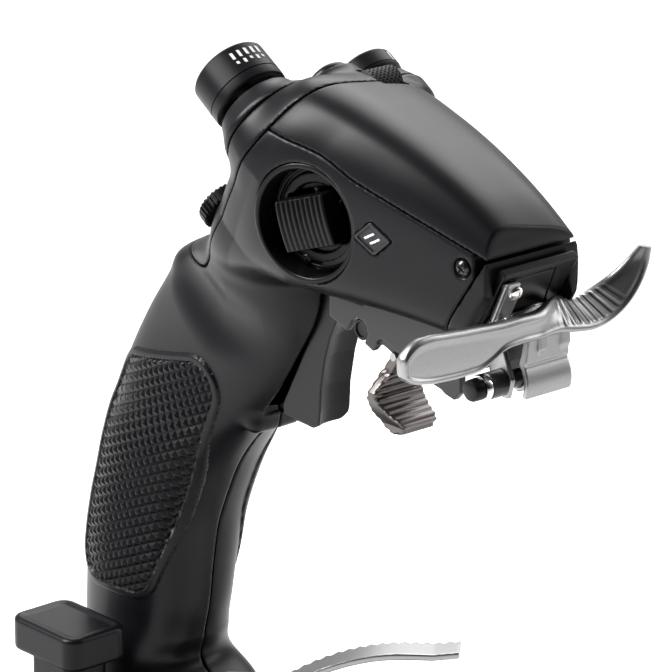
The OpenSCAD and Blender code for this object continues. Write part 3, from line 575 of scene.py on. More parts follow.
def loft(name, rings, sharp_deg=32):
    """A closed skin through rings with the same number of points."""
    n, m = len(rings[0]), len(rings)
    points = np.concatenate([np.asarray(r) for r in rings])
    i = np.arange(n)
    k = (i + 1) % n
    quads = np.concatenate([
        np.stack([j * n + i, j * n + k, (j + 1) * n + k, (j + 1) * n + i], axis=1) for j in range(m - 1)
    ])
    points = np.concatenate([points, [rings[0].mean(axis=0), rings[-1].mean(axis=0)]])
    first, last = m * n, m * n + 1
    tris = np.concatenate([
        np.stack([k, i, np.full(n, first)], axis=1),
        np.stack([(m - 1) * n + i, (m - 1) * n + k, np.full(n, last)], axis=1),
    ])
    obj = big_mesh(name, points, quads, tris)
    mesh = bmesh.new()
    mesh.from_mesh(obj.data)
    bmesh.ops.recalc_face_normals(mesh, faces=mesh.faces)
    mesh.to_mesh(obj.data)
    mesh.free()
    obj.data.set_sharp_from_angle(angle=math.radians(sharp_deg))
    return obj


def phillips(name, at, axes, r, h, sink=0.0):
    """A pan-head screw with a cross recess; its seat is at n = 0."""

    def field(n, a, b):
        away = np.sqrt(a * a + b * b)
        ball = (h * h + r * r) / (2 * h) * 1.25
        dome = np.sqrt(away ** 2 + (n - (h - ball)) ** 2) - ball
        d = smax(smax(dome, away - r, 0.25), -n - 1.0, 0.05)
        for u, v in ((a, b), (b, a)):
            slot = np.maximum(np.maximum(np.abs(u) - 0.13 * r, np.abs(v) - 0.62 * r), h * 0.35 - n + away * 0.35)
            d = smax(d, -slot, 0.08)
        return d

    size = r + 0.3
    step = 0.08
    return from_local(name, field, (-1 - sink, -size, -size), (h + 0.2, size, size), step, at, axes, 30)


# ---- hats, button, wheel and dial

HAT_AXES = axes_along(BACK_DIR, W_DIR)


def rear_point(x, w, out=0.0):
    return head_to_row((x, REAR_F - out, w))


def hat_profile(base, ceiling, h1, r):
    """A cap with a hollow skirt, so that it can tilt over its post."""
    return [
        (ceiling, 0.3), (ceiling, r - 2.2), (base, r - 1.8), (base, r - 0.6), (base + 0.4, r - 0.1), (base + 1.2, r),
        (ceiling - 0.2, r), (ceiling, r - 0.35), (ceiling + 0.2, r), (h1 - 1.4, r - 0.15), (h1 - 0.7, r - 0.7),
        (h1 - 0.2, r - 1.5), (h1, r - 2.4), (h1 - 0.1, r - 3.2), (h1 - 0.9, r - 4.4), (h1 - 1.3, r - 6),
        (h1 - 1.4, 0.5),
    ]


# name, place, radius, lower rim, ceiling of the hollow, top, ticks, first row below the top, step between the
# rows, angle of the first tick
HATS = (
    ("hat_right", RIGHT_HAT, 12.0, 8.5, 11.9, 22.4, 5, 3.2, 3.4, 60),
    ("hat_left", LEFT_HAT, 10.5, 5.1, 6.4, 12.5, 4, 2.6, 2.4, 112),
)
for body, at, r, base, ceiling, h1, ticks, first, drop, start in HATS:
    cap = lathe(f"{body}_cap_moulding", hat_profile(base, ceiling, h1, r), rear_point(*at), HAT_AXES, 128)
    place(cap, body, [f"{body}_cap"], "shell_black")
    marks = []
    for i in range(ticks):
        a0 = math.radians(start + 11 * i)
        for row, length in ((0, 2.4), (1, 1.5 if i % 2 else 0.9)):
            ring = []
            for da, dh in ((0, 0), (0.07, 0.25), (0.07, 0.25 + length), (0, length)):
                ang, out = a0 + da + row * 0.02, h1 - first - row * drop - dh
                radial = math.cos(ang) * HAT_AXES[1] + math.sin(ang) * HAT_AXES[2]
                ring.append(rear_point(*at) + out * BACK_DIR + radial * (r + 0.02))
            marks.append((ring, [p + 0.1 * radial for p in ring]))
    points = [p for ring, outer in marks for p in ring + outer]
    faces = []
    for m in range(len(marks)):
        o = m * 8
        sides = [(o + j, o + (j + 1) % 4, o + 4 + (j + 1) % 4, o + 4 + j) for j in range(4)]
        faces += [(o + 4, o + 5, o + 6, o + 7)] + sides
    tick = mesh_object(f"{body}_ticks", points, faces, smooth=False)
    place(tick, body, [], "mark")

dome = [(-5, BUTTON_R), (2.6, BUTTON_R), (3.1, BUTTON_R - 0.1)] + [
    (3.1 + 2.9 * math.cos(a), (BUTTON_R - 0.25) * math.sin(a)) for a in np.linspace(math.pi / 2, 0.03, 14)
]
place(
    lathe("thumb_button_dome", dome, rear_point(*BUTTON), HAT_AXES, 96),
    "thumb_button", ["thumb_button"], "soft_black",
)


def knurl(count, lean, depth):
    def wave(angle, along, r):
        if r < WHEEL_R - 0.1:
            return 0
        a, b = np.sin(count * angle + lean * along), np.sin(count * angle - lean * along)
        return depth * (np.maximum(np.abs(a), np.abs(b)) - 1)

    return wave


wheel_end = [(5.3, 4.6), (5.5, 4.0), (5.5, 1.2)]
wheel_start = [(-x, r) for x, r in reversed(wheel_end)]
wheel_profile = wheel_start + [(x, WHEEL_R) for x in np.linspace(-5.0, 5.0, 40)] + wheel_end
WHEEL_AXES = axes_along(X_DIR)
wheel = lathe("scroll_wheel_knurled", wheel_profile, head_to_row(WHEEL), WHEEL_AXES, 360, knurl(9, 2.0, 0.5), 20)
place(wheel, "scroll_wheel", ["scroll_wheel"], "rubber")


def teeth(angle, along, r):
    return 0.38 * np.clip(np.sin(30 * angle) * 2.5, -1, 1) - 0.38 if r > 7.4 else 0


dial_profile = [
    (-6, 3.4), (0.3, 3.4), (0.32, 7.2), (0.6, 8.0), (0.7, 8.0), (3.9, 8.0), (4.4, 7.6), (4.65, 6.6), (4.6, 5.2),
    (4.0, 4.4), (3.9, 0.4),
]
place(
    lathe("thumb_dial_knob", dial_profile, rear_point(*DIAL), HAT_AXES, 360, teeth),
    "thumb_dial", ["thumb_dial"], "soft_black",
)

# ---- side switch


def bezel_field(n, a, b):
    away = np.sqrt(a * a + b * b)
    wall = smax(np.abs(away - 16.95) - 0.85, np.abs(n + 5.2) - 5.7, 0.5)
    floor_ = smax(np.abs(n + 9.5) - 1.5, away - 17.2, 0.2)
    step = smax(np.abs(n + 7.6) - 1.1, np.abs(away - 11.9) - 1.6, 0.4)
    lip = smax(np.abs(n + 7.9) - 0.9, np.abs(away - 14.9) - 0.5, 0.3)
    d = np.minimum(smin(wall, floor_, 0.8), smin(step, lip, 0.3))
    well = boxed(n, a, b, (-14, -9.3, -8.4), (3, 9.3, 8.4), 1.5)
    return smax(d, -well, 0.3)


place(
    from_local("switch_bezel_ring", bezel_field, (-11.2, -18, -18), (0.8, 18, 18), FINE, SWITCH_AT, ROCKER_AXES),
    STICK, ["switch_bezel"], "soft_black",
)


def strip_field(n, a, b):
    away = np.sqrt(a * a + b * b)
    band = smax(np.abs(away - 13.6) - 1.0, np.abs(n + 6.6) - 0.5, 0.3)
    return smax(band, 8.2 - a, 0.3)


place(
    from_local("switch_light_strips", strip_field, (-7.4, 7, -15), (-5.8, 15, 15), FINE, SWITCH_AT, SWITCH_AXES),
    STICK, [], "trim_grey",
)

RIBS, RIB_HALF = 10, 8.2


def rocker_field(n, a, b):
    top = 2.1 - 0.10 * (a + RIB_HALF) + 0.35 * np.abs(np.sin(math.pi * (a + RIB_HALF) * RIBS / (2 * RIB_HALF))) - 0.35
    top = top - 0.012 * b * b
    side = thick(np.maximum(np.abs(a) - RIB_HALF, np.abs(b) - 7.5) + 0 * n, n + 3, 9, 0.9)
    body = smax(smax(side, n - top, 0.25), -7 - n, 0.3)
    stem = smax(np.sqrt((n + 9.5) ** 2 + a * a) - 3.3, np.abs(b) - 6.9, 0.2)
    d = smin(body, smax(smax(stem, -12.9 - n, 0.2), n + 6, 0.2), 0.8)
    return smax(d, 1.06 - np.sqrt((n + 9.5) ** 2 + a * a), 0.05)


place(
    from_local("side_rocker_cap", rocker_field, (-13, -8.6, -8), (2.6, 8.6, 8), FINE * 0.8, SWITCH_AT, ROCKER_AXES),
    "side_rocker", ["side_rocker"], "soft_black",
)
SWITCH_SCREWS = ((9.2, 10.0), (-8.1, -11.3))
heads = [
    phillips(f"switch_screw_{i}", SWITCH_AT + np.array((-8.0, a, b)) @ ROCKER_AXES, ROCKER_AXES, 1.9, 1.9)
    for i, (a, b) in enumerate(SWITCH_SCREWS)
]
for obj in heads:
    place(obj, STICK, ["switch_screws"], "screw_steel")


def mirrored(axes):
    """The same axes on the other side of the middle plane, kept right-handed."""
    n, a, b = (v * np.array([-1, 1, 1]) for v in axes)
    return np.array([n, -a, b])


for side, axes in ((1, SCREW_AXES), (-1, mirrored(SCREW_AXES))):
    at = SCREW_AT * np.array([side, 1, 1]) - 1.9 * axes[0]
    name = f"head_screw_{'right' if side > 0 else 'left'}"
    place(phillips(name, at, axes, 2.3, 1.7), STICK, ["head_screws"], "screw_steel")


def badge_field(x, y, z):
    skin, plan = body_field(x, y, z), badge_outline(x, y, z)
    plate = smax(smax(skin - 0.4, plan, 0.3), -skin - 1.3, 0.2)
    return smax(plate, -np.maximum(plan + 0.9, -0.1 - skin), 0.15)


def badge_bars(x, y, z):
    skin = body_field(x, y, z)
    n, a, b = local(x, y, z, BADGE_AT, BADGE_AXES)
    bars = np.maximum(np.abs(np.abs(a - 0.55 * b) - 1.2) - 0.4, np.abs(b) - 1.7)
    return smax(np.maximum(bars, -n - 4), np.abs(skin) - 0.25, 0.1)


BADGE_LO, BADGE_HI = BADGE_AT - 8, BADGE_AT + 8
place(from_field("badge_frame", badge_field, BADGE_LO, BADGE_HI, FINE * 0.7), STICK, ["badge_plate"], "trim_grey")
place(from_field("badge_light_bars", badge_bars, BADGE_LO, BADGE_HI, FINE * 0.6), STICK, [], "mark")

# ---- main trigger

TRIGGER = [
    (92, 247), (89.5, 238), (80, 226), (75, 214), (68, 200), (61.5, 187.5), (62, 184.2), (75.5, 183.4), (78.2, 184.8),
    (78.8, 190), (79.2, 197), (81.2, 207), (83.5, 214), (88.5, 224), (97, 232), (100, 238), (99, 247),
]


def trigger_field(x, y, z):
    dish = 1.5 * (1 - np.clip(x / 6.0, -1, 1) ** 2) * np.clip((236 - z) / 20, 0, 1)
    flat = poly(y + dish, z, TRIGGER)
    d = thick(flat, x, 6.0, 0.5)
    d = smin(d, thick(np.sqrt((y - 96) ** 2 + (z - 243) ** 2) - 5 + 0 * x, x, 6.0, 0.4), 1.0)
    d = smax(d, 1.56 - np.sqrt((y - 96) ** 2 + (z - 243) ** 2), 0.05)
    foot = np.sqrt(np.maximum(-x - 1.0, 0) ** 2 + np.maximum(189.5 - z, 0) ** 2) - 5.4
    return smax(d, np.where((x < -1) & (z < 189.5), foot, -5.0), 0.4)


place(
    from_field("main_trigger_blade", trigger_field, (-6.2, 61, 183), (6.2, 102, 249), FINE, 34),
    "main_trigger", ["main_trigger"], "soft_black",
)

# ---- carriage and front paddle

CHEEK = [
    (93.2, 232), (93.2, 225.1), (100.9, 222.4), (103.2, 226.3), (105.4, 227.5), (107.8, 227.1), (109.5, 225.7),
    (109.9, 223.6), (108.6, 220.5), (112.3, 219), (114.6, 221.7), (117, 221.2), (126, 217.6), (147, 213.2),
    (149.6, 216), (149.6, 231.2), (143.8, 231.4), (143.8, 238.6), (108.2, 238.6), (108.2, 232),
]


def cheek_field(x, y, z):
    d = thick(poly(y, z, CHEEK), np.abs(x) - 13.8, 1.15, 0.3)
    step = smax(poly(y, z, [(114, 222.4), (116, 223.6), (140, 216), (146, 212), (120, 212)]), 14.2 - np.abs(x), 0.3)
    return smax(smax(d, -step, 0.4), 1.3 - np.sqrt((y - 121) ** 2 + (z - 219.5) ** 2), 0.05)


place(
    from_field("carriage_plates", cheek_field, (-15.2, 93, 212), (15.2, 150, 239), FINE, 34),
    STICK, ["carriage_cheeks"], "trim_grey",
)
pin_profile = [
    (-15.2, 0.3), (-15.2, 2.9), (-14.9, 3.2), (14.5, 3.2), (14.8, 2.9), (14.8, 2.3), (14.3, 2.1), (14.2, 0.3),
]
PIN_AT = np.array([0, 106.9, 224.2])
place(
    lathe("carriage_pin_round", pin_profile, PIN_AT, axes_along(X_DIR), 64),
    STICK, ["carriage_pin"], "soft_black",
)

PAD_PLATE = [
    (109.3, 208.5), (107.7, 205), (107.1, 202.6), (108.8, 200), (112, 197.6), (115.2, 196.2), (116.8, 194.6),
    (115.6, 192.2), (111.5, 190.8), (107, 192.5), (103.6, 196.5), (102.6, 201), (103.8, 205.5), (106, 209),
]
PAD_NECK = [
    (124, 218), (117, 216.5), (113.4, 214), (110.6, 211), (109, 207), (108, 203), (103.8, 203), (104.6, 208),
    (107.5, 212.5), (111, 216.5), (116, 220.5), (121, 222.6),
]


def paddle_field(x, y, z):
    across = np.abs(x)
    run = 0.5 * y - z
    ribs = 0.42 * np.abs(np.sin(math.pi * run / 2.15)) - 0.42
    low = np.clip((203 - z) / 9, 0, 1)
    wide = 9.4 - 3.2 * low ** 2 - 3.0 * np.clip((z - 203) / 5, 0, 1)
    plate = thick(poly(y, z, PAD_PLATE) - ribs, across * 9.4 / wide, 9.4, 1.0)
    neck = thick(poly(y, z, PAD_NECK) - ribs * np.clip((214 - z) / 4, 0, 1), x, 5.6, 0.8)
    boss = thick(np.sqrt((y - 121) ** 2 + (z - 219.5) ** 2) - 3.6 + 0 * x, x, 12.0, 0.3)
    d = smin(smin(plate, neck, 2.5), boss, 1.0)
    return smax(d, 1.31 - np.sqrt((y - 121) ** 2 + (z - 219.5) ** 2), 0.05)


place(
    from_field("front_paddle_ribbed", paddle_field, (-12.4, 101, 189), (12.4, 125, 224), FINE * 0.85, 34),
    "front_paddle", ["front_paddle"], "gun_metal",
)

# ---- nose: plate, bracket, screws, pin and the folding trigger


def nose_field(x, f, w):
    plate = boxed(x, f, w, (-14.25, FACE_F - 3.2, -3.25), (14.25, FACE_F - 0.25, 20.75), 0.3)
    outline = np.abs(poly(x, w, [(12.2, 18.6), (-6.5, 18.9), (-10.5, 1.0), (5, 1.0)]) + 0.35)
    return smax(plate, -np.maximum(outline - 0.22, FACE_F - 0.75 - f), 0.12)


NOSE_LO, NOSE_HI = (-14.5, FACE_F - 3.4, -3.5), (14.5, FACE_F, 21)
place(
    from_local("nose_face_plate", nose_field, NOSE_LO, NOSE_HI, FINE, HEAD_AT, HEAD_AXES),
    STICK, ["nose_plate"], "shell_black",
)

LEAF_T = 1.6
LEAF_BACK = FACE_F + 0.05
LEAF_SCREWS = ((7.6, 1.8), (8.8, 14.8))


def leaf_field(x, f, w):
    lo, hi = LEAF_BACK, LEAF_BACK + LEAF_T
    lean = x - 0.17 * (w - 7)
    leaf = poly(lean, w, [(5.2, -3), (12.2, -3), (12.2, 18.2), (6.5, 18.2), (5.2, 14)]) + 0 * f
    d = thick(leaf, f - (lo + hi) / 2, LEAF_T / 2, 0.35)
    bar = boxed(x, f, w, (-12, lo, -3), (12, hi, 3.2), 0.4)
    tab = thick(np.sqrt((x + 3.4) ** 2 + (w + 1.6) ** 2) - 8.4 + 0 * f, f - hi - 0.3, 0.55, 0.3)
    groove = np.maximum(np.abs(lean - 11.3) - 0.25, lo + 0.9 - f)
    return np.minimum(np.minimum(smax(d, -groove, 0.15), bar), smax(tab, -2.8 - w, 0.3))


CHEEK_NOSE = [
    (153.2, 238.5), (152, 231), (155, 222), (157.5, 216.2), (162.5, 216.2), (164, 222), (160, 231), (159.4, 238.5),
]


def bracket_field(x, y, z):
    f, w = fw_of(y, z)
    d = leaf_field(x, f, w)
    for x0 in (-12, 6.9):
        d = np.minimum(d, smax(thick(poly(y, z, CHEEK_NOSE), x - x0 - 0.9, 0.9, 0.4), LEAF_BACK - f, 0.2))
    return smax(d, 2.6 - np.sqrt((y - 160) ** 2 + (z - 220.7) ** 2), 0.05)


place(
    from_field("hinge_bracket_leaf", bracket_field, (-12.4, 151, 215), (14.4, 167, 256), FINE * 0.9),
    STICK, ["hinge_bracket"], "steel",
)
for i, (x, w) in enumerate(LEAF_SCREWS):
    at = head_to_row((x, FACE_F + LEAF_T - 0.15, w))
    screw = phillips(f"bracket_screw_{i}", at, axes_along(F_DIR), 2.35, 1.9)
    place(screw, STICK, ["bracket_screws"], "chrome")

PIVOT = np.array([0, 160, 220.7])
barrel = [
    (-13, 0.3), (-13, 2.3), (-12.7, 2.6), (8.8, 2.6), (8.9, 3.6), (9.2, 3.9), (14.6, 3.9), (14.9, 3.6),
    (14.95, 2.8), (15.9, 2.8), (16, 0.3),
]
place(lathe("fold_pin_barrel", barrel, PIVOT, axes_along(X_DIR), 72), STICK, ["fold_pin"], "dark_metal")
ring = [(15.0, 2.5), (15.0, 3.6), (15.3, 3.9), (16.6, 4.0), (17.4, 3.7), (17.5, 2.5)]
place(lathe("fold_pin_ring", ring, PIVOT, axes_along(X_DIR), 72), STICK, ["fold_pin"], "chrome")
cap = [(17.5, 2.5), (17.6, 3.3), (20.3, 3.2), (20.8, 2.9), (21, 2.4), (21, 0.3)]
place(lathe("fold_pin_cap", cap, PIVOT, axes_along(X_DIR), 72), STICK, ["fold_pin"], "soft_black")

# Each row: x, forward of the pin, lower edge, width of the band, tilt, turn
STRAP = [
    (53.6, 7.5, 234.3, 4.6, 0, 0), (53.0, 7.5, 233.4, 6.8, 0, 0), (51.4, 7.5, 232.2, 9.7, 0, 0),
    (48.5, 7.5, 231, 12.6, 0, 0), (44, 7.5, 230, 14.2, 0, 0), (37, 7.5, 229.4, 14.3, 0, 0),
    (30, 7.5, 229.2, 13.9, 0, 0), (24, 7.5, 229.6, 13.1, 0, 0),
    (20, 7.5, 231.2, 11.2, 0, 0), (16, 7.5, 233.3, 8.9, 0, 0), (9, 7.5, 234.1, 8.2, 0, 0), (2, 7.5, 233.9, 8.4, 3, 0),
    (-5, 8, 234, 10, 22, 0), (-11, 9, 233.6, 12, 44, 0), (-18, 9.7, 233.2, 13, 60, 0),
]
CURL_R, CURL_END = 22.2, 84
STRAP += [
    (-18 - CURL_R * math.sin(math.radians(a)), 9.7, 233.2 + CURL_R * (1 - math.cos(math.radians(a))),
     13 - 9.2 * (a / CURL_END) ** 2, 60, a)
    for a in range(14, CURL_END + 1, 14)
]


def strap_rings():
    rows = np.array(STRAP, float)
    step = np.linalg.norm(np.diff(rows[:, [0, 2]], axis=0), axis=1)
    t = np.concatenate([[0], np.cumsum(step)])
    fine = np.arange(0, t[-1], 0.33)
    cols = np.stack([through(fine, t, rows[:, i]) for i in range(6)], axis=1)
    section = np.linspace(0, 2 * math.pi, 72, endpoint=False) + 0.04
    rings = []
    for run, (x, out, low, wide, tilt, turn) in zip(fine, cols):
        c, s = math.cos(math.radians(tilt)), math.sin(math.radians(tilt))
        lift = np.array([math.sin(math.radians(turn)), 0, math.cos(math.radians(turn))])
        fore = np.array([0, 1.0, 0])
        band, face = c * lift - s * fore, c * fore + s * lift
        slim = np.interp(x, (-30, -12, 0), (2.4, 3.0, 4.4))
        ends = min(1.0, run / 1.3)
        cosv, sinv = np.cos(section), np.sin(section)
        u = np.sign(cosv) * np.abs(cosv) ** 0.55 * wide / 2
        v = np.sign(sinv) * np.abs(sinv) ** 0.75 * slim / 2 * math.sqrt(max(0.05, 1 - (1 - ends) ** 2))
        edge = np.minimum(wide / 2 - u, np.minimum((wide / 2 + u) * 1.6, run * 1.1 + 0.4))
        dish = np.clip((edge - 1.5) / 2.2, 0, 1)
        dish = dish * dish * (3 - 2 * dish) * np.interp(x, (-8, 2), (0.25, 1.0))
        v = np.where(sinv > 0.05, v - 0.95 * dish, v)
        if x < -5:
            ridge = np.clip(math.sin(2 * math.pi * (run - 60) / 3.1) * 2.2, 0, 1)
            high = 0.3 * ridge * np.interp(x, (-34, -26, -10, -5), (0, 1, 1, 0))
            v = np.where(sinv > 0.3, v + high * np.clip((wide / 2 - 1.4 - np.abs(u)) * 2, 0, 1), v)
        origin = np.array([x, PIVOT[1] + out, low]) + band * wide / 2
        rings.append(origin + np.outer(u, band) + np.outer(v, face))
    return rings


strap = loft("folding_trigger_strap", strap_rings(), 40)
place(strap, "folding_trigger", ["folding_trigger"], "steel")
ARM = [
    (156.6, 220.7), (157.6, 217.4), (160, 216.3), (162.5, 217.4), (164, 221), (169, 231), (168.6, 235.5),
    (166.8, 235.5), (165, 231), (160, 224),
]


def arm_field(x, y, z):
    away = np.sqrt((y - 160) ** 2 + (z - 220.7) ** 2)
    turn = np.arctan2(z - 220.7, y - 160)
    roll = np.maximum(np.maximum(np.abs(away - 8.8) - 0.8, -0.35 - turn), turn - 0.72)
    rise = poly(y, z, [(166.9, 226), (168.2, 227.5), (168, 235.5), (166, 235.5), (165.6, 227)])
    left = x - 8.0 + 0.035 * (z - 216) ** 2 * 0.18
    d = smax(smin(roll, rise, 1.0) + 0 * x, np.maximum(left, -9.6 - x), 0.3)
    for x0 in (-9.6, -1):
        d = np.minimum(d, thick(poly(y, z, ARM), x - x0 - 1.8, 1.8, 0.5))
    return smax(d, 2.66 - away, 0.05)


place(
    from_field("folding_trigger_plate", arm_field, (-9.8, 156, 212), (8.4, 170.2, 236), FINE * 0.9),
    "folding_trigger", ["folding_trigger"], "steel",
)

# ---- soft pads with rows of small pyramids

PAD_CENTRES = [(-13, 121), (3, 121.5), (32.5, 187.5), (2.5, 181)]
PAD_CORNER_R = 11.0
PITCH_MM = 2.9
PYRAMID, BORDER = 0.85, 2.3


def pad_piece(side):
    """A moulded pad laid on the grip: raised border, groove, then rows of pyramids."""
    cells = 8
    step = PITCH_MM / cells
    axis = np.array([32.0, 80.0]) / np.hypot(32.0, 80.0)
    cross = np.array([axis[1], -axis[0]])
    centre = np.array([4.0, 152.0])
    n = int(62 / step)
    i, j = np.meshgrid(np.arange(-n, n + 1), np.arange(-n, n + 1), indexing="ij")
    p, q = i * step, j * step
    along, over = (p + q) / math.sqrt(2), (p - q) / math.sqrt(2)
    gy = centre[0] + along * axis[0] + over * cross[0]
    gz = centre[1] + along * axis[1] + over * cross[1]
    edge = poly(gy, gz, PAD_CENTRES) - PAD_CORNER_R + 0.4
    lo, hi = np.zeros_like(gy), np.full_like(gy, 30.0)
    for _ in range(22):
        x = (lo + hi) / 2
        inside = body_field(side * x, gy, gz) < 0
        lo, hi = np.where(inside, x, lo), np.where(inside, hi, x)
    x = side * (lo + hi) / 2
    e = 0.35
    grad = np.stack([
        body_field(x + e, gy, gz) - body_field(x - e, gy, gz),
        body_field(x, gy + e, gz) - body_field(x, gy - e, gz),
        body_field(x, gy, gz + e) - body_field(x, gy, gz - e),
    ], axis=-1)
    grad /= np.linalg.norm(grad, axis=-1, keepdims=True)
    u = np.abs(p / PITCH_MM - np.round(p / PITCH_MM)) * 2
    v = np.abs(q / PITCH_MM - np.round(q / PITCH_MM)) * 2
    peak = np.minimum((1 - np.maximum(u, v)) * 1.15, 0.95) * PYRAMID
    field_in = np.clip((-edge - BORDER - 0.5) / 0.5, 0, 1)
    round_edge = np.clip(-edge / 1.0, 0, 1)
    rim = 0.95 * np.sqrt(1 - (1 - round_edge) ** 2)
    groove = np.clip((-edge - BORDER) / 0.35, 0, 1)
    height = rim * (1 - groove) + groove * (0.15 + peak * field_in)
    height = np.where(edge > 0, -0.5 * np.clip(edge, 0, 1.2), height)
    points = np.stack([x, gy, gz], axis=-1) + grad * height[..., None]
    keep = edge < 1.0
    index = np.full(keep.shape, -1)
    index[keep] = np.arange(keep.sum())
    whole = keep[:-1, :-1] & keep[1:, :-1] & keep[:-1, 1:] & keep[1:, 1:]
    a, b, c, d = index[:-1, :-1][whole], index[1:, :-1][whole], index[1:, 1:][whole], index[:-1, 1:][whole]
    half_u = ((i[:-1, :-1] + 0.5) / cells - np.round((i[:-1, :-1] + 0.5) / cells))[whole]
    half_v = ((j[:-1, :-1] + 0.5) / cells - np.round((j[:-1, :-1] + 0.5) / cells))[whole]
    rising = (half_u * half_v > 0)[:, None]
    one = np.where(rising, np.stack([a, b, c], 1), np.stack([a, b, d], 1))
    two = np.where(rising, np.stack([a, c, d], 1), np.stack([b, c, d], 1))
    tris = np.concatenate([one, two])
    if side > 0:
        tris = tris[:, ::-1]
    name = "right" if side > 0 else "left"
    obj = big_mesh(f"pad_{name}", points[keep], np.zeros((0, 4), int), tris)
    mesh = bmesh.new()
    mesh.from_mesh(obj.data)
    loose = [v for v in mesh.verts if not v.link_faces]
    bmesh.ops.delete(mesh, geom=loose, context="VERTS")
    mesh.to_mesh(obj.data)
    mesh.free()
    obj.data.set_sharp_from_angle(angle=math.radians(28))
    place(obj, STICK, [f"grip_pad_{name}"], "pad_black")


for side in (1, -1):
    pad_piece(side)

# ---- hand rest, lever and base

REST = (36.5, -5.5)


def rest_field(x, y, z):
    qx, qy = np.abs(x - REST[0]) - 6.5, np.abs(y - REST[1]) - 11
    plan = np.sqrt(np.maximum(qx, 0) ** 2 + np.maximum(qy, 0) ** 2) + np.minimum(np.maximum(qx, qy), 0) - 5
    dip = 0.5 * np.clip(-plan - 2.0, 0, 2) / 2
    return thick(plan + 0 * z, z - 100.5 + dip * (z > 100.5), 5.5, 1.6)


place(
    from_field("rest_pad_moulding", rest_field, (24.5, -22, 94.8), (48.5, 11, 106.4), FINE * 1.2),
    "hand_rest", ["rest_pad"], "shell_black",
)

LEVER_AT = np.array([-13, 39.2, 80.0])
LEVER_YAW = math.radians(134.3)
LEVER_AXES = np.array([
    [math.cos(LEVER_YAW), math.sin(LEVER_YAW), 0], [-math.sin(LEVER_YAW), math.cos(LEVER_YAW), 0], [0, 0, 1.0],
])


def lever_field(s, t, z):
    run = np.minimum(s + 7, 46)
    top = 18.3 - 17.3 * (1 - run / 46) ** 2 + 0.9 * np.maximum(0, s + 7 - 54) / 7
    slope = np.clip(2 * 17.3 * (1 - run / 46) / 46, 0, 1)
    level = (z - top + 1.1) / np.sqrt(1 + slope ** 2)
    tooth = np.abs(((s - 6) / 3.5) % 1 - 0.5) * 2
    edge = np.where(t > 0, 3.9 + 1.6 * tooth, 5.4)
    d = smax(np.abs(level) - 1.05, np.abs(t) - edge, 0.5)
    d = smax(d, np.maximum(-1 - s, s - 55), 0.6)
    boss = thick(np.sqrt(s * s + z * z) - 4 + 0 * t, t, 5.6, 0.4)
    return smax(smin(d, boss, 1.5), 1.56 - np.sqrt(s * s + z * z), 0.05)


place(
    from_local(
        "brake_lever_blade", lever_field, (-4.3, -5.8, -4.3), (55.5, 5.8, 19.8), FINE * 1.1, LEVER_AT, LEVER_AXES
    ),
    "brake_lever", ["brake_lever"], "steel",
)


def rounded_square(x, y, half, r):
    qx, qy = np.abs(x) - half + r, np.abs(y) - half + r
    return np.sqrt(np.maximum(qx, 0) ** 2 + np.maximum(qy, 0) ** 2) + np.minimum(np.maximum(qx, qy), 0) - r


# The base's turret is cut off at TURRET_TOP and bored to BORE_R. A lip inside it closes in on the dust dome, and
# a ball of BALL_R about the gimbal's centre leaves the stick room to lean.
TURRET_R, TURRET_TOP, BORE_R, LIP_R = 44, 45, 41.0, 31.2
GIMBAL_Z, BALL_R = 33, 30.7
BASE_HALF, BASE_CORNER, BASE_WALL = 88.0, 34.0, 3.0
CLEAR = 200.0


def base_field(x, y, z):
    inset = np.clip((z - 25.5) / 14, 0, 1.2)
    outer = rounded_square(x, y, BASE_HALF, BASE_CORNER) + 29 * inset
    d = smax(outer * (1 - 0.35 * (inset > 0)), z - 40, 3.0)
    away = np.sqrt(x * x + y * y)
    turret = smax(away - TURRET_R + 0 * z, z - 48, 2.5)
    d = smin(d, turret, 5)
    ball = np.sqrt(away ** 2 + (z - GIMBAL_Z) ** 2) - BALL_R
    d = np.maximum(d, -(d + BASE_WALL))
    d = smax(d, -ball, 0.6)
    d = smax(d, np.where(z > TURRET_TOP, BORE_R + CLEAR, BORE_R) - away, 0.1)
    d = smax(d, 13.2 - z, 0.8)
    lip = smax(np.abs(z - 43.4) - 1.5, smax(LIP_R - away, away - 42, 0.3), 0.6)
    d = np.minimum(d, lip)
    deck = np.maximum(np.abs(rounded_square(x, y, 52.0, 24.0)) - 0.45, 38.9 - z)
    d = np.maximum(d, -deck)
    return smax(d, -boxed(x, y, z, (-6.2, 84, 0), (6.2, 90, 18.5), 0.5), 0.3)


BASE_STEP = 0.9
place(
    from_field("base_top_moulding", base_field, (-88, -88, 13), (88, 88, 48.5), BASE_STEP),
    "base", ["base_top"], "shell_black",
)

# ---------------------------------------------------------------- stage


def floor():
    mesh = bpy.data.meshes.new("floor")
    size = 30.0
    mesh.from_pydata([(-size, -size, 0), (size, -size, 0), (size, size, 0), (-size, size, 0)], [], [(0, 1, 2, 3)])
    obj = bpy.data.objects.new("floor", mesh)
    bpy.context.scene.collection.objects.link(obj)
    MATS["floor"] = material("Pale floor", (0.86, 0.86, 0.86), 0.75, 0.02, 40, specular=0.1)
    shader = MATS["floor"].node_tree.nodes["Principled BSDF"]
    shader.inputs["Emission Color"].default_value = (1, 1, 1, 1)
    shader.inputs["Emission Strength"].default_value = 0.3
    finish_with(obj, "floor")


floor()

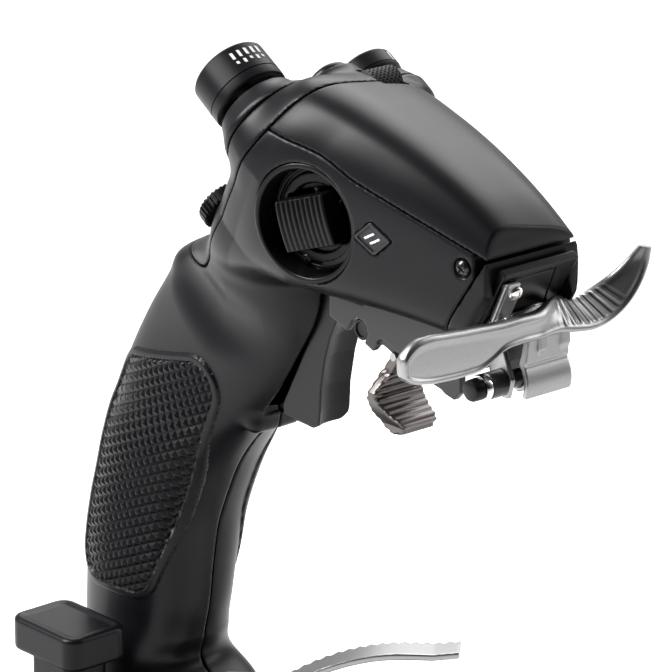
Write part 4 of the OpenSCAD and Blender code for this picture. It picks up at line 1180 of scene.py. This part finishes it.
CAM_TARGET = np.array([0.0, 0.079, 0.212])
CAM_AZ, CAM_EL, CAM_DIST = math.radians(139), math.radians(18.5), 1.4
CAM_BACK = np.array([
    math.sin(CAM_AZ) * math.cos(CAM_EL), -math.cos(CAM_AZ) * math.cos(CAM_EL), math.sin(CAM_EL)
])
cam_data = bpy.data.cameras.new("camera")
cam_data.lens = 254
cam_data.sensor_width = 36
cam = bpy.data.objects.new("camera", cam_data)
cam.location = Vector(CAM_TARGET + CAM_BACK * CAM_DIST)
cam.rotation_mode = "QUATERNION"
cam.rotation_quaternion = Vector(-CAM_BACK).to_track_quat("-Z", "Y")
bpy.context.scene.collection.objects.link(cam)
bpy.context.scene.camera = cam


def softbox(name, at, aim, size, power):
    """A rectangular softbox at a place, aimed at a point, in metres and watts."""
    data = bpy.data.lights.new(name, "AREA")
    data.shape = "RECTANGLE"
    data.size, data.size_y = size
    data.energy = power
    obj = bpy.data.objects.new(name, data)
    obj.location = at
    obj.rotation_mode = "QUATERNION"
    obj.rotation_quaternion = (Vector(aim) - Vector(at)).to_track_quat("-Z", "Y")
    bpy.context.scene.collection.objects.link(obj)


def around(azimuth, elevation, distance):
    a, e = math.radians(azimuth), math.radians(elevation)
    return tuple(CAM_TARGET + distance * np.array([
        math.sin(a) * math.cos(e), -math.cos(a) * math.cos(e), math.sin(e)
    ]))


AIM = tuple(CAM_TARGET)
softbox("key_top", around(306, 40, 1.35), AIM, (1.0, 1.0), 13)
softbox("left_box", around(54, 40, 1.2), AIM, (0.4, 0.8), 30)
softbox("right_strip", around(236, 24, 1.2), AIM, (0.25, 1.0), 5)


def world():
    """Pale surroundings on the far side, fading to nearly dark on the side the camera stands."""
    w = bpy.data.worlds.new("studio")
    bpy.context.scene.world = w
    w.use_nodes = True
    nodes, links = w.node_tree.nodes, w.node_tree.links
    back = nodes["Background"]
    coords = nodes.new("ShaderNodeTexCoord")
    dot = nodes.new("ShaderNodeVectorMath")
    dot.operation = "DOT_PRODUCT"
    dot.inputs[1].default_value = (0.64, 0.72, -0.25)
    links.new(coords.outputs["Generated"], dot.inputs[0])
    ramp = nodes.new("ShaderNodeMapRange")
    ramp.interpolation_type = "SMOOTHSTEP"
    ramp.inputs["From Min"].default_value = -0.45
    ramp.inputs["From Max"].default_value = 0.35
    ramp.inputs["To Min"].default_value = 0.6
    ramp.inputs["To Max"].default_value = 0.02
    links.new(dot.outputs["Value"], ramp.inputs["Value"])
    links.new(ramp.outputs["Result"], back.inputs["Strength"])
    back.inputs["Color"].default_value = (1, 1, 1, 1)


world()
bpy.context.scene.view_settings.view_transform = "Standard"
